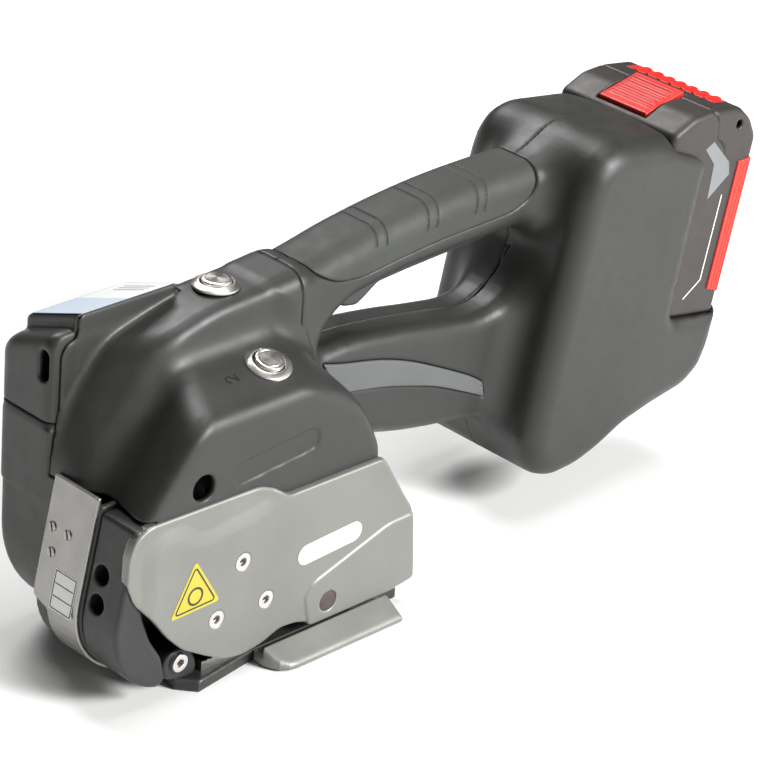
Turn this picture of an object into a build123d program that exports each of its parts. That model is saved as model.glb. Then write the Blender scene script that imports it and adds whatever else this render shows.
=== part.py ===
"""Battery strapping tool for plastic strap, as an assembly of separate pieces.

Millimetres. +X runs from the nose to the battery, -Y is the side where the strap goes in, +Z is up.
The origin is on the surface the tool stands on, near the middle of its base plate.
"""

from build123d import *
import os
from math import cos, radians, sin, sqrt, tan

os.makedirs("parts", exist_ok=True)

# ---- Driving dimensions ----------------------------------------------------------------------
WALL = 3.0  # moulded covers
CAST_FACE = -60.0  # outer face of the rocker casting
CAST_PLATE = 2.7
NEAR_FACE = -57.0  # outer face of the covers on the strap side
FAR_FACE = 39.0
HANDLE_Y = -5.0  # middle plane of the handle, strut and battery
HANDLE_WIDTH = 34.0
HANDLE_START = 22.0  # the crown of the front body ends and the handle begins
LEAN = 10.5  # the battery and its housing lean back by this many degrees

BASE_THICKNESS = 6.0
STRAP_Z = 10.7  # top of the gripper and anvil that the strap lies on

WHEEL_X, WHEEL_Z = -38.8, 43.0
WHEEL_RADIUS = 32.0
WHEEL_NEAR, WHEEL_FAR = -55.5, -37.5
STAR_RADIUS = 16.7  # circle of the three planet gears and their screws
STAR_START = 92.0

PIVOT_X, PIVOT_Z = 14.8, 20.2
PIVOT_RADIUS = 5.5
RUN = 0.05  # radial clearance of a running fit

JAW_X, JAW_Y = 48.0, -45.5  # middle of the welding jaw and axis of the eccentric shaft
WELD_MOTOR_X, WELD_MOTOR_Y = 10.0, 4.0
WELD_SHAFT = 4.0
PULLEY_Z = 52.0
PULLEY_RADIUS, PULLEY_WIDTH = 9.0, 7.0

TENSION_BUTTON = (-13.0, -5.0, 164.6)
WELD_BUTTON = (-9.5, -37.0, 137.6)
BEZEL_RADIUS, BEZEL_HEIGHT = 11.0, 2.2
ACTUATOR_RADIUS = 6.7
BUTTON_PROUD = 1.6

NOSE_FRONT = -98.0  # front of the nose at COVER_Z
COVER_Z = 94.0  # lower edge of the covers at the front
NOSE_LEAN = 11.0
NOSE_CURL = 34.0
SHELL_FRONT = -98.0  # the far part of the nose stands upright
SHELL_CURL = 55.0

LEVER_PIVOT = (44.0, 152.0)
LEVER_WIDTH = 17.0

BATTERY_WIDTH = 76.0
HOUSING_WIDTH = 84.0

# ---- Planes and small helpers ----------------------------------------------------------------


STANDING = (Align.CENTER, Align.CENTER, Align.MIN)


def side(y):
    """A plane facing -Y at y, with X to the right and Z up."""
    return Plane(origin=(0, y, 0), x_dir=(1, 0, 0), z_dir=(0, -1, 0))


def axis_plane(x, y, z):
    """A plane facing -Y with its origin on a shaft that runs along Y."""
    return Plane(origin=(x, y, z), x_dir=(1, 0, 0), z_dir=(0, -1, 0))


def save(piece, name):
    """Labels a finished piece and writes it to its own file."""
    piece.part.label = name
    export_step(piece.part, f"parts/{name}.step")


def slab(points, near, far):
    """A closed outline in X and Z, filled from near to far along Y."""
    with BuildPart(mode=Mode.PRIVATE) as made:
        with BuildSketch(side(far)):
            with BuildLine():
                Polyline(*points, close=True)
            make_face()
        extrude(amount=far - near)
    return made.part


def brick(low, high):
    """A box between two corners."""
    size = [b - a for a, b in zip(low, high)]
    middle = [(a + b) / 2 for a, b in zip(low, high)]
    return Pos(*middle) * Box(*size, mode=Mode.PRIVATE)


def turned(radius, length, near, x, z):
    """A cylinder along Y that starts at near."""
    rod = Cylinder(radius, length, mode=Mode.PRIVATE)
    return axis_plane(x, near + length / 2, z) * rod


def star(index):
    """Where planet gear number index has its axis, in X and Z."""
    angle = radians(STAR_START + 120 * index)
    return WHEEL_X + STAR_RADIUS * cos(angle), WHEEL_Z + STAR_RADIUS * sin(angle)


def toothed_disc(plane, tip, root, teeth, length):
    """A disc with teeth around it, standing on plane and length thick."""
    with BuildPart(mode=Mode.PRIVATE) as made:
        with BuildSketch(plane):
            Circle(root)
            with PolarLocations((tip + root) / 2, teeth):
                Rectangle(tip - root + 0.2, 3.0 * root / teeth)
        extrude(amount=length)
    return made.part


# ---- Base ------------------------------------------------------------------------------------
BASE_REAR = 66.0
FOOT_FRONT, FOOT_REAR = -24.0, 54.0
BASE_NEAR = -54.6

with BuildPart() as base_plate:
    with BuildSketch():
        with BuildLine():
            Polyline(
                (-68, -52), (-61, -60), (FOOT_FRONT, BASE_NEAR), (BASE_REAR, BASE_NEAR),
                (BASE_REAR, 34), (-68, 34), close=True,
            )
        make_face()
    extrude(amount=BASE_THICKNESS)
    with Locations(*[(x, y, BASE_THICKNESS) for x in (-50, 50) for y in (-20, 24)]):
        Hole(2.6)
    chamfer(base_plate.edges().filter_by(Plane.XY).group_by(Axis.Z)[0].sort_by(Axis.X)[0], 2.0)

with BuildPart() as side_foot:
    with BuildSketch(Plane.YZ.offset(-26)):
        with BuildLine():
            Polyline(
                (BASE_NEAR, 0), (-73, 0), (-73, 2.6), (-61.2, 9.6), (-60.6, 9.6),
                (-60.6, BASE_THICKNESS), (BASE_NEAR, BASE_THICKNESS), close=True,
            )
        make_face()
    extrude(amount=FOOT_REAR + 26)
    with BuildSketch(mode=Mode.PRIVATE) as foot_plan:
        with BuildLine():
            Polyline(
                (-12.5, -73), (FOOT_REAR, -73), (FOOT_REAR, BASE_NEAR), (FOOT_FRONT, BASE_NEAR), (-25, -62),
            )
            ThreePointArc((-25, -62), (-21.5, -69.5), (-12.5, -73))
        make_face()
    extrude(foot_plan.sketch, amount=20, mode=Mode.INTERSECT)

GRIP_LOW, GRIP_HIGH = (-55, -54, BASE_THICKNESS), (-22, -37, STRAP_Z)
with BuildPart() as lower_gripper:
    add(brick(GRIP_LOW, GRIP_HIGH))
    with Locations(*[(-52.5 + 3 * i, -45.5, STRAP_Z) for i in range(10)]):
        Box(1.2, 17, 0.8, mode=Mode.SUBTRACT)

with BuildPart() as weld_anvil:
    add(brick((36, -54, BASE_THICKNESS), (60, -37, STRAP_Z)))
    with Locations(*[(38.5 + 2.4 * i, -45.5, STRAP_Z) for i in range(9)]):
        Box(0.9, 17, 0.6, mode=Mode.SUBTRACT)

GUIDE_SCREW = (-69.0, 15.0)
with BuildPart() as strap_guide:
    with BuildSketch(side(-34)):
        with BuildLine():
            Polyline(
                (-60, BASE_THICKNESS), (-60, 16), (-66, 22), (-72, 22), (-77, 17), (-74, 8),
                (-67, BASE_THICKNESS), close=True,
            )
        make_face()
        fillet(vertices().group_by(Axis.Y)[-1], 2.5)
    extrude(amount=20)
    add(turned(1.95, 8.5, -54.5, *GUIDE_SCREW), mode=Mode.SUBTRACT)

with BuildPart() as strap_guide_screw:
    add(turned(1.95, 8, -54, *GUIDE_SCREW))
    add(turned(3.9, 2.2, -56.2, *GUIDE_SCREW))
    with BuildSketch(axis_plane(GUIDE_SCREW[0], -55, GUIDE_SCREW[1])):
        RegularPolygon(1.7, 6)
    extrude(amount=5, mode=Mode.SUBTRACT)

with BuildPart() as base_screws:
    with Locations(*[(x, y, 1.4) for x in (-50, 50) for y in (-20, 24)]):
        Cylinder(2.55, 10.6, align=STANDING)

# ---- Main frame ------------------------------------------------------------------------------
WEB_NEAR, WEB_FAR = -33.0, -27.0
FRAME_FLOOR = 12.0
COVER_SCREWS = [(31, 20), (31, 62), (-4, 62)]

with BuildPart() as main_frame:
    add(brick((-58, -32.6, BASE_THICKNESS), (55.5, 30, FRAME_FLOOR)))
    with BuildSketch(side(WEB_FAR)):
        with BuildLine():
            Polyline((-8, FRAME_FLOOR - 1), (-6, 46), (55, 46), (55, FRAME_FLOOR - 1), close=True)
        make_face()
    extrude(amount=WEB_FAR - WEB_NEAR)
    add(brick((37, -54, 36), (55, WEB_FAR, 46)))
    add(brick((28, 5, FRAME_FLOOR - 1), (34, 24, 61)))
    add(brick((-8, -16, 60), (34, 24, 66)))
    add(turned(PIVOT_RADIUS, 10, WEB_NEAR - 1, PIVOT_X, PIVOT_Z), mode=Mode.SUBTRACT)
    with Locations((JAW_X, JAW_Y, 41)):
        Cylinder(5 + RUN, 30, mode=Mode.SUBTRACT)
    with Locations((WELD_MOTOR_X, WELD_MOTOR_Y, 63)):
        Cylinder(WELD_SHAFT + RUN, 30, mode=Mode.SUBTRACT)
    with Locations(*[(JAW_X + dx, JAW_Y, 41) for dx in (-8.4, 8.4)]):
        Cylinder(1.5, 30, mode=Mode.SUBTRACT)
    with Locations(*[(x, y, 9) for x in (-50, 50) for y in (-20, 24)]):
        Cylinder(2.55, 8, mode=Mode.SUBTRACT)
    for x, z in COVER_SCREWS:
        add(turned(3.6, 12.5, 23, x, z))
        add(turned(1.6, 20, 20, x, z), mode=Mode.SUBTRACT)

save(base_plate, "base_plate")
save(side_foot, "side_foot")
save(lower_gripper, "lower_gripper")
save(weld_anvil, "weld_anvil")
save(strap_guide, "strap_guide")
save(strap_guide_screw, "strap_guide_screw")
save(base_screws, "base_screws")
save(main_frame, "main_frame")

# ---- Covers of the front body ----------------------------------------------------------------
# The covers are cut from one form, which is made twice: at full size, and inset for the hollow.
SEAM_Y = 3.0  # joint between the main cover and the far covers
CAP_Z = 118.0  # lower edge of the nose cap
CAP_REAR = -27.0
NOSE_SPLIT = -60.0  # the nose shell ends here
NOSE_FLOOR = 8.0
CURL_Z = NOSE_FLOOR + NOSE_CURL
CURL_X = NOSE_CURL / cos(radians(NOSE_LEAN)) + NOSE_FRONT - (98 - CURL_Z) * tan(radians(NOSE_LEAN))
PLATFORM = (0, -0.309, 0.951)
FAR_SLOPE = (0, 0.36, 0.933)
CROWN_CORNER = (-0.68, -0.582, 0.4475)  # the crown's corner over the near box falls away to the front


def nose_point(z, inset=0.0):
    """A point of the leaning front of the nose at height z, in X and Z."""
    return NOSE_FRONT - (98 - z) * tan(radians(NOSE_LEAN)) + inset / cos(radians(NOSE_LEAN)), z


def curl_point(angle, radius):
    """A point of the arc under the nose. Angle 0 faces forward, 90 faces down."""
    return CURL_X - radius * cos(radians(angle)), CURL_Z - radius * sin(radians(angle))


def beyond(point, normal):
    """The half of space on the side of a plane that its normal points to."""
    return Plane(origin=point, z_dir=normal) * Pos(0, 0, 200) * Box(600, 600, 400, mode=Mode.PRIVATE)


def trimmed(low, high, inset, planes):
    """A box, inset on every side, cut by planes that are moved in by the same amount."""
    made = brick([v + inset for v in low], [v - inset for v in high])
    for point, normal in planes:
        moved = [p - inset * n for p, n in zip(point, normal)]
        made -= beyond(moved, normal)
    return made


REAR_PLANES = [((36, 0, 113), (0.857, 0, 0.515)), ((46, 0, 95), (0.933, 0, 0.359))]


def near_box(inset):
    """The raised box on the strap side, with the sloping platform of the welding button."""
    planes = [
        ((0, NEAR_FACE, 131.5), PLATFORM),
        ((-96, NEAR_FACE, 94), (-0.7707, 0.1622, 0.6165)),
        ((9, NEAR_FACE, 130.5), (0.529, -0.278, 0.801)),
    ]
    made = trimmed((-99, NEAR_FACE, 94), (52, -8, 160), inset, planes + REAR_PLANES)
    return made


def far_box(inset):
    """The far half of the body above the nose shell."""
    planes = [
        ((SHELL_FRONT, 0, 98), (-1, 0, 0)),
        ((0, 1, 162), FAR_SLOPE),
        ((-18, 0, 158), (0.45, 0, 0.893)),
    ]
    return trimmed((-120, 1.5, 90), (52, FAR_FACE, 165), inset, planes + REAR_PLANES)


def label_pedestal(inset):
    """The raised flat for the label on the nose cap."""
    return trimmed((-86, 1.5, 140), (-30, 36.5, 180), inset, [((0, 1.5, 168.3), FAR_SLOPE)])


def crown(inset):
    """The ridge that carries the tension button and runs back into the handle."""
    with BuildPart(mode=Mode.PRIVATE) as made:
        with BuildSketch(side(12 - inset)):
            with BuildLine():
                Polyline(
                    (-98, 90), (-98, 98), (-92, 129), (-75, 151), (-27, 163.8), (HANDLE_START, 167.5),
                    (HANDLE_START, 113), (36, 113), (46, 95), (48, 90), close=True,
                )
            make_face()
            if inset:
                offset(amount=-inset, kind=Kind.INTERSECTION)
        extrude(amount=34 - 2 * inset)
    corner = [p - inset * n for p, n in zip((-91, -12, 112), CROWN_CORNER)]
    return made.part - beyond(corner, CROWN_CORNER)


def shell_curl_point(z, inset):
    """A point at height z of the larger arc under the upright part of the nose, in X and Z."""
    radius = SHELL_CURL - inset
    rise = 2.5 + SHELL_CURL - z
    return SHELL_FRONT + SHELL_CURL - sqrt(radius**2 - rise**2), z


def lower_core(inset):
    """The lower body. Its front leans out and curls back behind the strip, and stands upright beside it."""
    radius = NOSE_CURL - inset
    floor = 6 + inset
    with BuildPart(mode=Mode.PRIVATE) as made:
        with BuildSketch(side(-2 - inset)):
            with BuildLine():
                ThreePointArc(curl_point(-NOSE_LEAN, radius), curl_point(40, radius), curl_point(90, radius))
                Polyline(
                    curl_point(90, radius), (-68.3, floor), (62 - inset, floor),
                    (62 - inset, 50), (50 - inset, 84), (46 - inset, 96), nose_point(96, inset),
                    curl_point(-NOSE_LEAN, radius),
                )
            make_face()
        extrude(amount=31 - 2 * inset)
        with BuildSketch(side(FAR_FACE - inset)):
            with BuildLine():
                ThreePointArc(
                    shell_curl_point(2.5 + SHELL_CURL, inset), shell_curl_point(25, inset),
                    shell_curl_point(floor, inset),
                )
                Polyline(
                    shell_curl_point(floor, inset), (62 - inset, floor), (62 - inset, 50), (50 - inset, 84),
                    (46 - inset, 96), (SHELL_FRONT + inset, 96),
                    shell_curl_point(2.5 + SHELL_CURL, inset),
                )
            make_face()
        extrude(amount=72 - 2 * inset)
    return made.part


def body_form(inset):
    """The whole front body as one solid."""
    return lower_core(inset) + crown(inset) + near_box(inset) + far_box(inset) + label_pedestal(inset)


outer_form = body_form(0)
shell = outer_form - body_form(WALL)
# Openings inside the form: between its blocks, over the base, and for the rocker's window.
shell -= brick((-86, NEAR_FACE + WALL, 80), (43, -20, 97.5))
shell -= brick((-93, -25, 88), (42, 36, 99))
shell -= brick((NOSE_SPLIT, -40, 0), (58, 36, 14))
shell -= brick((NOSE_SPLIT, -40, 0), (57, -25, 90))
skirt = brick((-88, NEAR_FACE, 80), (-14, NEAR_FACE + WALL, 97))
skirt += brick((-14, NEAR_FACE, 74), (44, NEAR_FACE + WALL, 97))

cap_region = brick((-130, SEAM_Y, CAP_Z), (CAP_REAR, 60, 200))
crown_region = brick((CAP_REAR, SEAM_Y - 1, 150), (HANDLE_START + 1, 12.01, 200))
nose_region = brick((-130, -60, 0), (NOSE_SPLIT, 60, 94)) + brick((-130, SEAM_Y, 90), (NOSE_SPLIT, 60, CAP_Z))

with BuildPart() as main_cover:
    add(shell & (brick((-130, -80, 94), (80, SEAM_Y, 200)) + crown_region))
    add(skirt)
    for place, reach in ((TENSION_BUTTON, Plane.XY), (WELD_BUTTON, Plane(origin=(0, 0, 0), z_dir=PLATFORM))):
        with Locations(Plane(origin=place, z_dir=reach.z_dir)):
            Cylinder(9.45, 24, mode=Mode.SUBTRACT)
            Cylinder(BEZEL_RADIUS + 0.2, 10, align=STANDING, mode=Mode.SUBTRACT)
    add(turned(6.2, 10, NEAR_FACE - 4, -62, 102), mode=Mode.SUBTRACT)
    with BuildSketch(side(NEAR_FACE + 0.8)):
        with Locations(Location((8, 106, 0), (0, 0, 2))):
            SlotOverall(42, 16)
    extrude(amount=5, mode=Mode.SUBTRACT)

with BuildPart() as nose_cap:
    add(shell & cap_region)
    with BuildSketch(Plane(origin=(-90, 9, 143), z_dir=(-1, 0, 0.2), x_dir=(0, 1, 0))):
        SlotOverall(15, 6, rotation=90)
    extrude(amount=12, both=True, mode=Mode.SUBTRACT)

with BuildPart() as nose_shell:
    add(shell & nose_region)

with BuildPart() as far_cover:
    add((shell & brick((-130, SEAM_Y, 0), (80, 60, 200))) - cap_region - nose_region - crown_region)
    for x, z in COVER_SCREWS:
        add(turned(6, 2, FAR_FACE - 5, x, z) - turned(3.6, 9, 30, x, z))
        add(turned(1.7, 30, 20, x, z), mode=Mode.SUBTRACT)
        add(turned(3.4, 6, FAR_FACE - 2.4, x, z), mode=Mode.SUBTRACT)

with BuildPart() as far_cover_screws:
    for x, z in COVER_SCREWS:
        add(turned(3.2, 2.0, FAR_FACE - 2.4, x, z))
        add(turned(1.55, 12, FAR_FACE - 14, x, z))
        with BuildSketch(axis_plane(x, FAR_FACE, z)):
            RegularPolygon(1.6, 6)
        extrude(amount=1.4, mode=Mode.SUBTRACT)
save(far_cover_screws, "far_cover_screws")

with BuildPart() as rear_cover:
    add((shell & brick((NOSE_SPLIT, -40, 0), (80, SEAM_Y, 94))) - nose_region)

for piece, name in (
    (main_cover, "main_cover"), (nose_cap, "nose_cap"), (nose_shell, "nose_shell"),
    (far_cover, "far_cover"), (rear_cover, "rear_cover"),
):
    save(piece, name)

# ---- Front of the nose -----------------------------------------------------------------------
STRIP_THICKNESS = 1.6
with BuildPart() as front_plate:
    with BuildSketch(side(-33.4)):
        with BuildLine():
            ThreePointArc(
                curl_point(-NOSE_LEAN, NOSE_CURL), curl_point(35, NOSE_CURL), curl_point(76, NOSE_CURL)
            )
            Polyline(
                curl_point(76, NOSE_CURL), (-78, 12), (-81, 24), (-90, 36), (-94, 60), (-90, 92.5),
                nose_point(92.5), curl_point(-NOSE_LEAN, NOSE_CURL),
            )
        make_face()
    extrude(amount=23.2)
    for height in (66, 52.4):
        with Locations(Plane(origin=(nose_point(height)[0], -42, height), z_dir=(-1, 0, 0.19))):
            Cylinder(4.7, 50, mode=Mode.SUBTRACT)

with BuildPart() as front_strip:
    with BuildSketch(side(-3)):
        with BuildLine():
            outer_radius = NOSE_CURL + STRIP_THICKNESS
            outer_arc = [curl_point(angle, outer_radius) for angle in (-NOSE_LEAN, 35, 76)]
            inner_arc = [curl_point(angle, NOSE_CURL) for angle in (76, 35, -NOSE_LEAN)]
            ThreePointArc(*outer_arc)
            Polyline(outer_arc[-1], inner_arc[0])
            ThreePointArc(*inner_arc)
            Polyline(
                curl_point(-NOSE_LEAN, NOSE_CURL), nose_point(98), nose_point(98, -STRIP_THICKNESS),
                curl_point(-NOSE_LEAN, outer_radius),
            )
        make_face()
    extrude(amount=29)
    strip_screw_places = [
        Plane(origin=(nose_point(z, -STRIP_THICKNESS)[0], y, z), z_dir=(-1, 0, 0.1944))
        for y, z in ((-7.5, 75.5), (-17.8, 75.7), (-9.8, 64.5))
    ]
    for place in strip_screw_places:
        with Locations(place):
            Cylinder(1.75, 10, mode=Mode.SUBTRACT)

with BuildPart() as front_strip_screws:
    for place in strip_screw_places:
        with Locations(place):
            Cylinder(1.7, STRIP_THICKNESS + 1.4, align=(Align.CENTER, Align.CENTER, Align.MAX))
            Cylinder(2.8, 0.8, align=STANDING)
            Box(0.7, 4.0, 1.0, mode=Mode.SUBTRACT)

with BuildPart() as nose_shell_drilled:
    add(nose_shell.part)
    for place in strip_screw_places:
        with Locations(place):
            Cylinder(1.75, 12, mode=Mode.SUBTRACT)

save(front_plate, "front_plate")
save(front_strip, "front_strip")
save(front_strip_screws, "front_strip_screws")
save(nose_shell_drilled, "nose_shell")

# ---- Rocker: the arm that carries the tension wheel -------------------------------------------
ROCKER_OUTLINE = [
    (-81, 34), (-90, 47), (-100, 58), (-103.5, 76), (-103.5, 86), (-100, 93), (-93, 94), (-27, 92),
    (-20, 88), (-13, 84), (46, 83), (61, 59), (67, 50.5), (70, 13), (55, 10.4), (5, 10.5), (2, 14),
    (-5, 16), (-14, 15.5),
]
BLOCK_OUTLINE = [(5, 10.5), (1.6, 29), (5.6, 33.5), (50, 51), (67, 50.5), (70, 13), (55, 10.4)]
PLATE_BACK = CAST_FACE + CAST_PLATE
SCREW_HEAD = 4.6

with BuildPart() as rocker_casting:
    with BuildSketch(side(PLATE_BACK)):
        with BuildLine():
            Polyline(*ROCKER_OUTLINE)
            ThreePointArc(ROCKER_OUTLINE[-1], (WHEEL_X, 12), (-58, 17.6))
            Polyline((-58, 17.6), (-72, 26), ROCKER_OUTLINE[0])
        make_face()
        fillet(vertices().group_by(Axis.X)[0], 5)
    extrude(amount=CAST_PLATE - 0.8)
    with BuildSketch(side(CAST_FACE + 0.8)):
        with BuildLine():
            Polyline(*BLOCK_OUTLINE, close=True)
        make_face()
        fillet(vertices(), 3)
    extrude(amount=0.8)
    with BuildSketch(side(CAST_FACE + 0.8)):
        with BuildLine():
            Polyline(
                (-14, 15.5), (-16, 50), (-20, 66), (-30, 75), (-75, 77), (-88, 84), (-97, 86), (-101, 76),
                (-98, 58), (-88, 47), (-79, 34),
            )
            Polyline((-79, 34), (-72, 27), (-58, 18.6))
            ThreePointArc((-58, 18.6), (WHEEL_X, 13), (-14, 15.5))
        make_face()
        fillet(vertices().group_by(Axis.X)[0], 4)
    extrude(amount=0.8)
    # Boss around the pivot, rib to the gearbox plate, and the rear return wall.
    add(turned(10.6, 20.8, PLATE_BACK, PIVOT_X, PIVOT_Z))
    add(slab([(-1, 34), (2, 56), (26, 58), (26, 26), (8, 26)], PLATE_BACK, -36.5))
    add(slab([(65, 50.5), (67, 50.5), (70, 14), (68, 14)], PLATE_BACK, -44))
    add(turned(PIVOT_RADIUS + RUN, 30, CAST_FACE - 1, PIVOT_X, PIVOT_Z), mode=Mode.SUBTRACT)
    for index in range(3):
        x, z = star(index)
        with Locations(axis_plane(x, CAST_FACE, z)):
            CounterSinkHole(2.25, SCREW_HEAD, depth=4, counter_sink_angle=90)

with BuildPart() as gearbox_plate:
    with BuildSketch(side(-33.4)):
        with BuildLine():
            Polyline((WHEEL_X, 68), (18, 46), (25.5, 24), (25.5, 12), (6, 10), (WHEEL_X, 18), close=True)
        make_face()
        with Locations((WHEEL_X, WHEEL_Z)):
            Circle(25)
    extrude(amount=3.1)
    add(turned(12, 20, -45, WHEEL_X, WHEEL_Z), mode=Mode.SUBTRACT)
    add(turned(PIVOT_RADIUS + RUN, 20, -45, PIVOT_X, PIVOT_Z), mode=Mode.SUBTRACT)

with BuildPart() as planet_pins:
    for index in range(3):
        x, z = star(index)
        add(turned(4.0, 15.8, PLATE_BACK, x, z))
        add(turned(2.0, 9, PLATE_BACK, x, z), mode=Mode.SUBTRACT)

with BuildPart() as gear_cover_screws:
    for index in range(3):
        with BuildSketch(Plane(origin=(star(index)[0], 0, star(index)[1]), x_dir=(1, 0, 0), z_dir=(0, 0, 1))):
            with BuildLine():
                Polyline(
                    (0, CAST_FACE + 0.1), (SCREW_HEAD - 0.1, CAST_FACE + 0.1), (1.95, PLATE_BACK - 0.1),
                    (1.95, PLATE_BACK + 7.5), (0, PLATE_BACK + 7.5), close=True,
                )
            make_face()
        revolve(axis=Axis((star(index)[0], 0, star(index)[1]), (0, 1, 0)))
        with BuildSketch(axis_plane(star(index)[0], CAST_FACE + 1.9, star(index)[1])):
            RegularPolygon(1.75, 6)
        extrude(amount=5, mode=Mode.SUBTRACT)

NOSE_RADIUS = 12.0
SUN_SHAFT = 3.0
with BuildPart() as tension_motor:
    add(turned(18, 58, -33.4, WHEEL_X, WHEEL_Z))
    add(turned(NOSE_RADIUS, 9, -41.5, WHEEL_X, WHEEL_Z))
    add(turned(SUN_SHAFT + RUN, 26, -45, WHEEL_X, WHEEL_Z), mode=Mode.SUBTRACT)
    fillet(tension_motor.edges().filter_by(GeomType.CIRCLE).group_by(Axis.Y)[-1], 2)

with BuildPart() as tension_wheel:
    wheel_plane = axis_plane(WHEEL_X, WHEEL_FAR, WHEEL_Z)
    add(toothed_disc(wheel_plane, WHEEL_RADIUS, WHEEL_RADIUS - 0.6, 60, WHEEL_FAR - WHEEL_NEAR))
    add(turned(25.7, 15.5, WHEEL_NEAR - 1, WHEEL_X, WHEEL_Z), mode=Mode.SUBTRACT)
    add(turned(NOSE_RADIUS + RUN, 30, -60, WHEEL_X, WHEEL_Z), mode=Mode.SUBTRACT)

PLANET_TIP, SUN_TIP = 8.6, 7.7
for index in range(3):
    x, z = star(index)
    with BuildPart() as planet_gear:
        add(toothed_disc(axis_plane(x, -43, z), PLANET_TIP, PLANET_TIP - 1, 22, 11))
        add(turned(4.0 + RUN, 20, -58, x, z), mode=Mode.SUBTRACT)
    save(planet_gear, f"planet_gear_{index + 1}")

with BuildPart() as sun_gear:
    add(toothed_disc(axis_plane(WHEEL_X, -43, WHEEL_Z), SUN_TIP, SUN_TIP - 1, 20, 11))
    add(turned(SUN_SHAFT, 24, -44, WHEEL_X, WHEEL_Z))

with BuildPart() as pivot_pin:
    add(turned(PIVOT_RADIUS, 33.4, CAST_FACE - 0.2, PIVOT_X, PIVOT_Z))
    chamfer(pivot_pin.edges().group_by(Axis.Y)[0], 0.5)

for piece, name in (
    (rocker_casting, "rocker_casting"), (gearbox_plate, "gearbox_plate"), (planet_pins, "planet_pins"),
    (gear_cover_screws, "gear_cover_screws"), (tension_motor, "tension_motor"),
    (tension_wheel, "tension_wheel"), (sun_gear, "sun_gear"), (pivot_pin, "pivot_pin"),
):
    save(piece, name)

# ---- Welding drive ---------------------------------------------------------------------------
ECCENTRICITY = 1.2
CARRIER_LOW, CARRIER_HIGH = 22.0, 32.0

with BuildPart() as weld_motor:
    with BuildSketch(Plane(origin=(WELD_MOTOR_X, WELD_MOTOR_Y, 66))):
        Circle(17)
    extrude(amount=42)
    fillet(weld_motor.edges().group_by(Axis.Z)[-1], 2)
    with Locations((WELD_MOTOR_X, WELD_MOTOR_Y, 66)):
        Cylinder(WELD_SHAFT + RUN, 30, mode=Mode.SUBTRACT)

with BuildPart() as weld_motor_pulley:
    with BuildSketch(Plane(origin=(WELD_MOTOR_X, WELD_MOTOR_Y, 48))):
        Circle(WELD_SHAFT)
    extrude(amount=32)
    add(toothed_disc(
        Plane(origin=(WELD_MOTOR_X, WELD_MOTOR_Y, PULLEY_Z - PULLEY_WIDTH / 2)),
        PULLEY_RADIUS, PULLEY_RADIUS - 0.8, 18, PULLEY_WIDTH,
    ))

with BuildPart() as eccentric_shaft:
    with BuildSketch(Plane(origin=(JAW_X, JAW_Y, 34.5))):
        Circle(5)
    extrude(amount=23)
    with BuildSketch(Plane(origin=(JAW_X, JAW_Y + ECCENTRICITY, 15))):
        Circle(2.5)
    extrude(amount=20)
    add(toothed_disc(
        Plane(origin=(JAW_X, JAW_Y, PULLEY_Z - PULLEY_WIDTH / 2)),
        PULLEY_RADIUS, PULLEY_RADIUS - 0.8, 18, PULLEY_WIDTH,
    ))

with BuildPart() as drive_belt:
    span = Vector(JAW_X - WELD_MOTOR_X, JAW_Y - WELD_MOTOR_Y, 0)
    middle = (WELD_MOTOR_X + JAW_X) / 2, (WELD_MOTOR_Y + JAW_Y) / 2, PULLEY_Z - 3
    with BuildSketch(Plane(origin=middle, x_dir=span, z_dir=(0, 0, 1))):
        SlotCenterToCenter(span.length, 2 * (PULLEY_RADIUS + 1.5))
        SlotCenterToCenter(span.length, 2 * (PULLEY_RADIUS + 0.2), mode=Mode.SUBTRACT)
    extrude(amount=6)

with BuildPart() as carrier_guide_pins:
    with Locations(*[(JAW_X + dx, JAW_Y, 25) for dx in (-8.4, 8.4)]):
        Cylinder(1.5, 16, align=STANDING)

with BuildPart() as weld_carrier:
    add(brick((34, -54, CARRIER_LOW), (61, -37.5, CARRIER_HIGH)))
    fillet(weld_carrier.edges().filter_by(Axis.Z), 1.5)
    add(brick((41, -60, 20), (44, -30, 26.4)), mode=Mode.SUBTRACT)
    with Locations((JAW_X, JAW_Y, 28)):
        Cylinder(4.6, 30, mode=Mode.SUBTRACT)
    with Locations(*[(JAW_X + dx, JAW_Y, 28) for dx in (-8.4, 8.4)]):
        Cylinder(1.5 + RUN, 30, mode=Mode.SUBTRACT)

with BuildPart() as weld_jaw:
    add(brick((37, -52.5, STRAP_Z + 0.3), (59, -38.5, CARRIER_LOW - 0.3)))
    add(brick((41.3, -52.5, 18), (43.7, -38.5, 26)))
    with Locations((JAW_X, JAW_Y, 28)):
        Cylinder(5.0, 30, mode=Mode.SUBTRACT)
    with Locations(*[(38.5 + 2.4 * i, JAW_Y, STRAP_Z + 0.3) for i in range(9)]):
        Box(0.9, 20, 0.6, mode=Mode.SUBTRACT)

for piece, name in (
    (weld_motor, "weld_motor"), (weld_motor_pulley, "weld_motor_pulley"),
    (eccentric_shaft, "eccentric_shaft"), (drive_belt, "drive_belt"),
    (carrier_guide_pins, "carrier_guide_pins"), (weld_carrier, "weld_carrier"), (weld_jaw, "weld_jaw"),
):
    save(piece, name)

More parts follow.
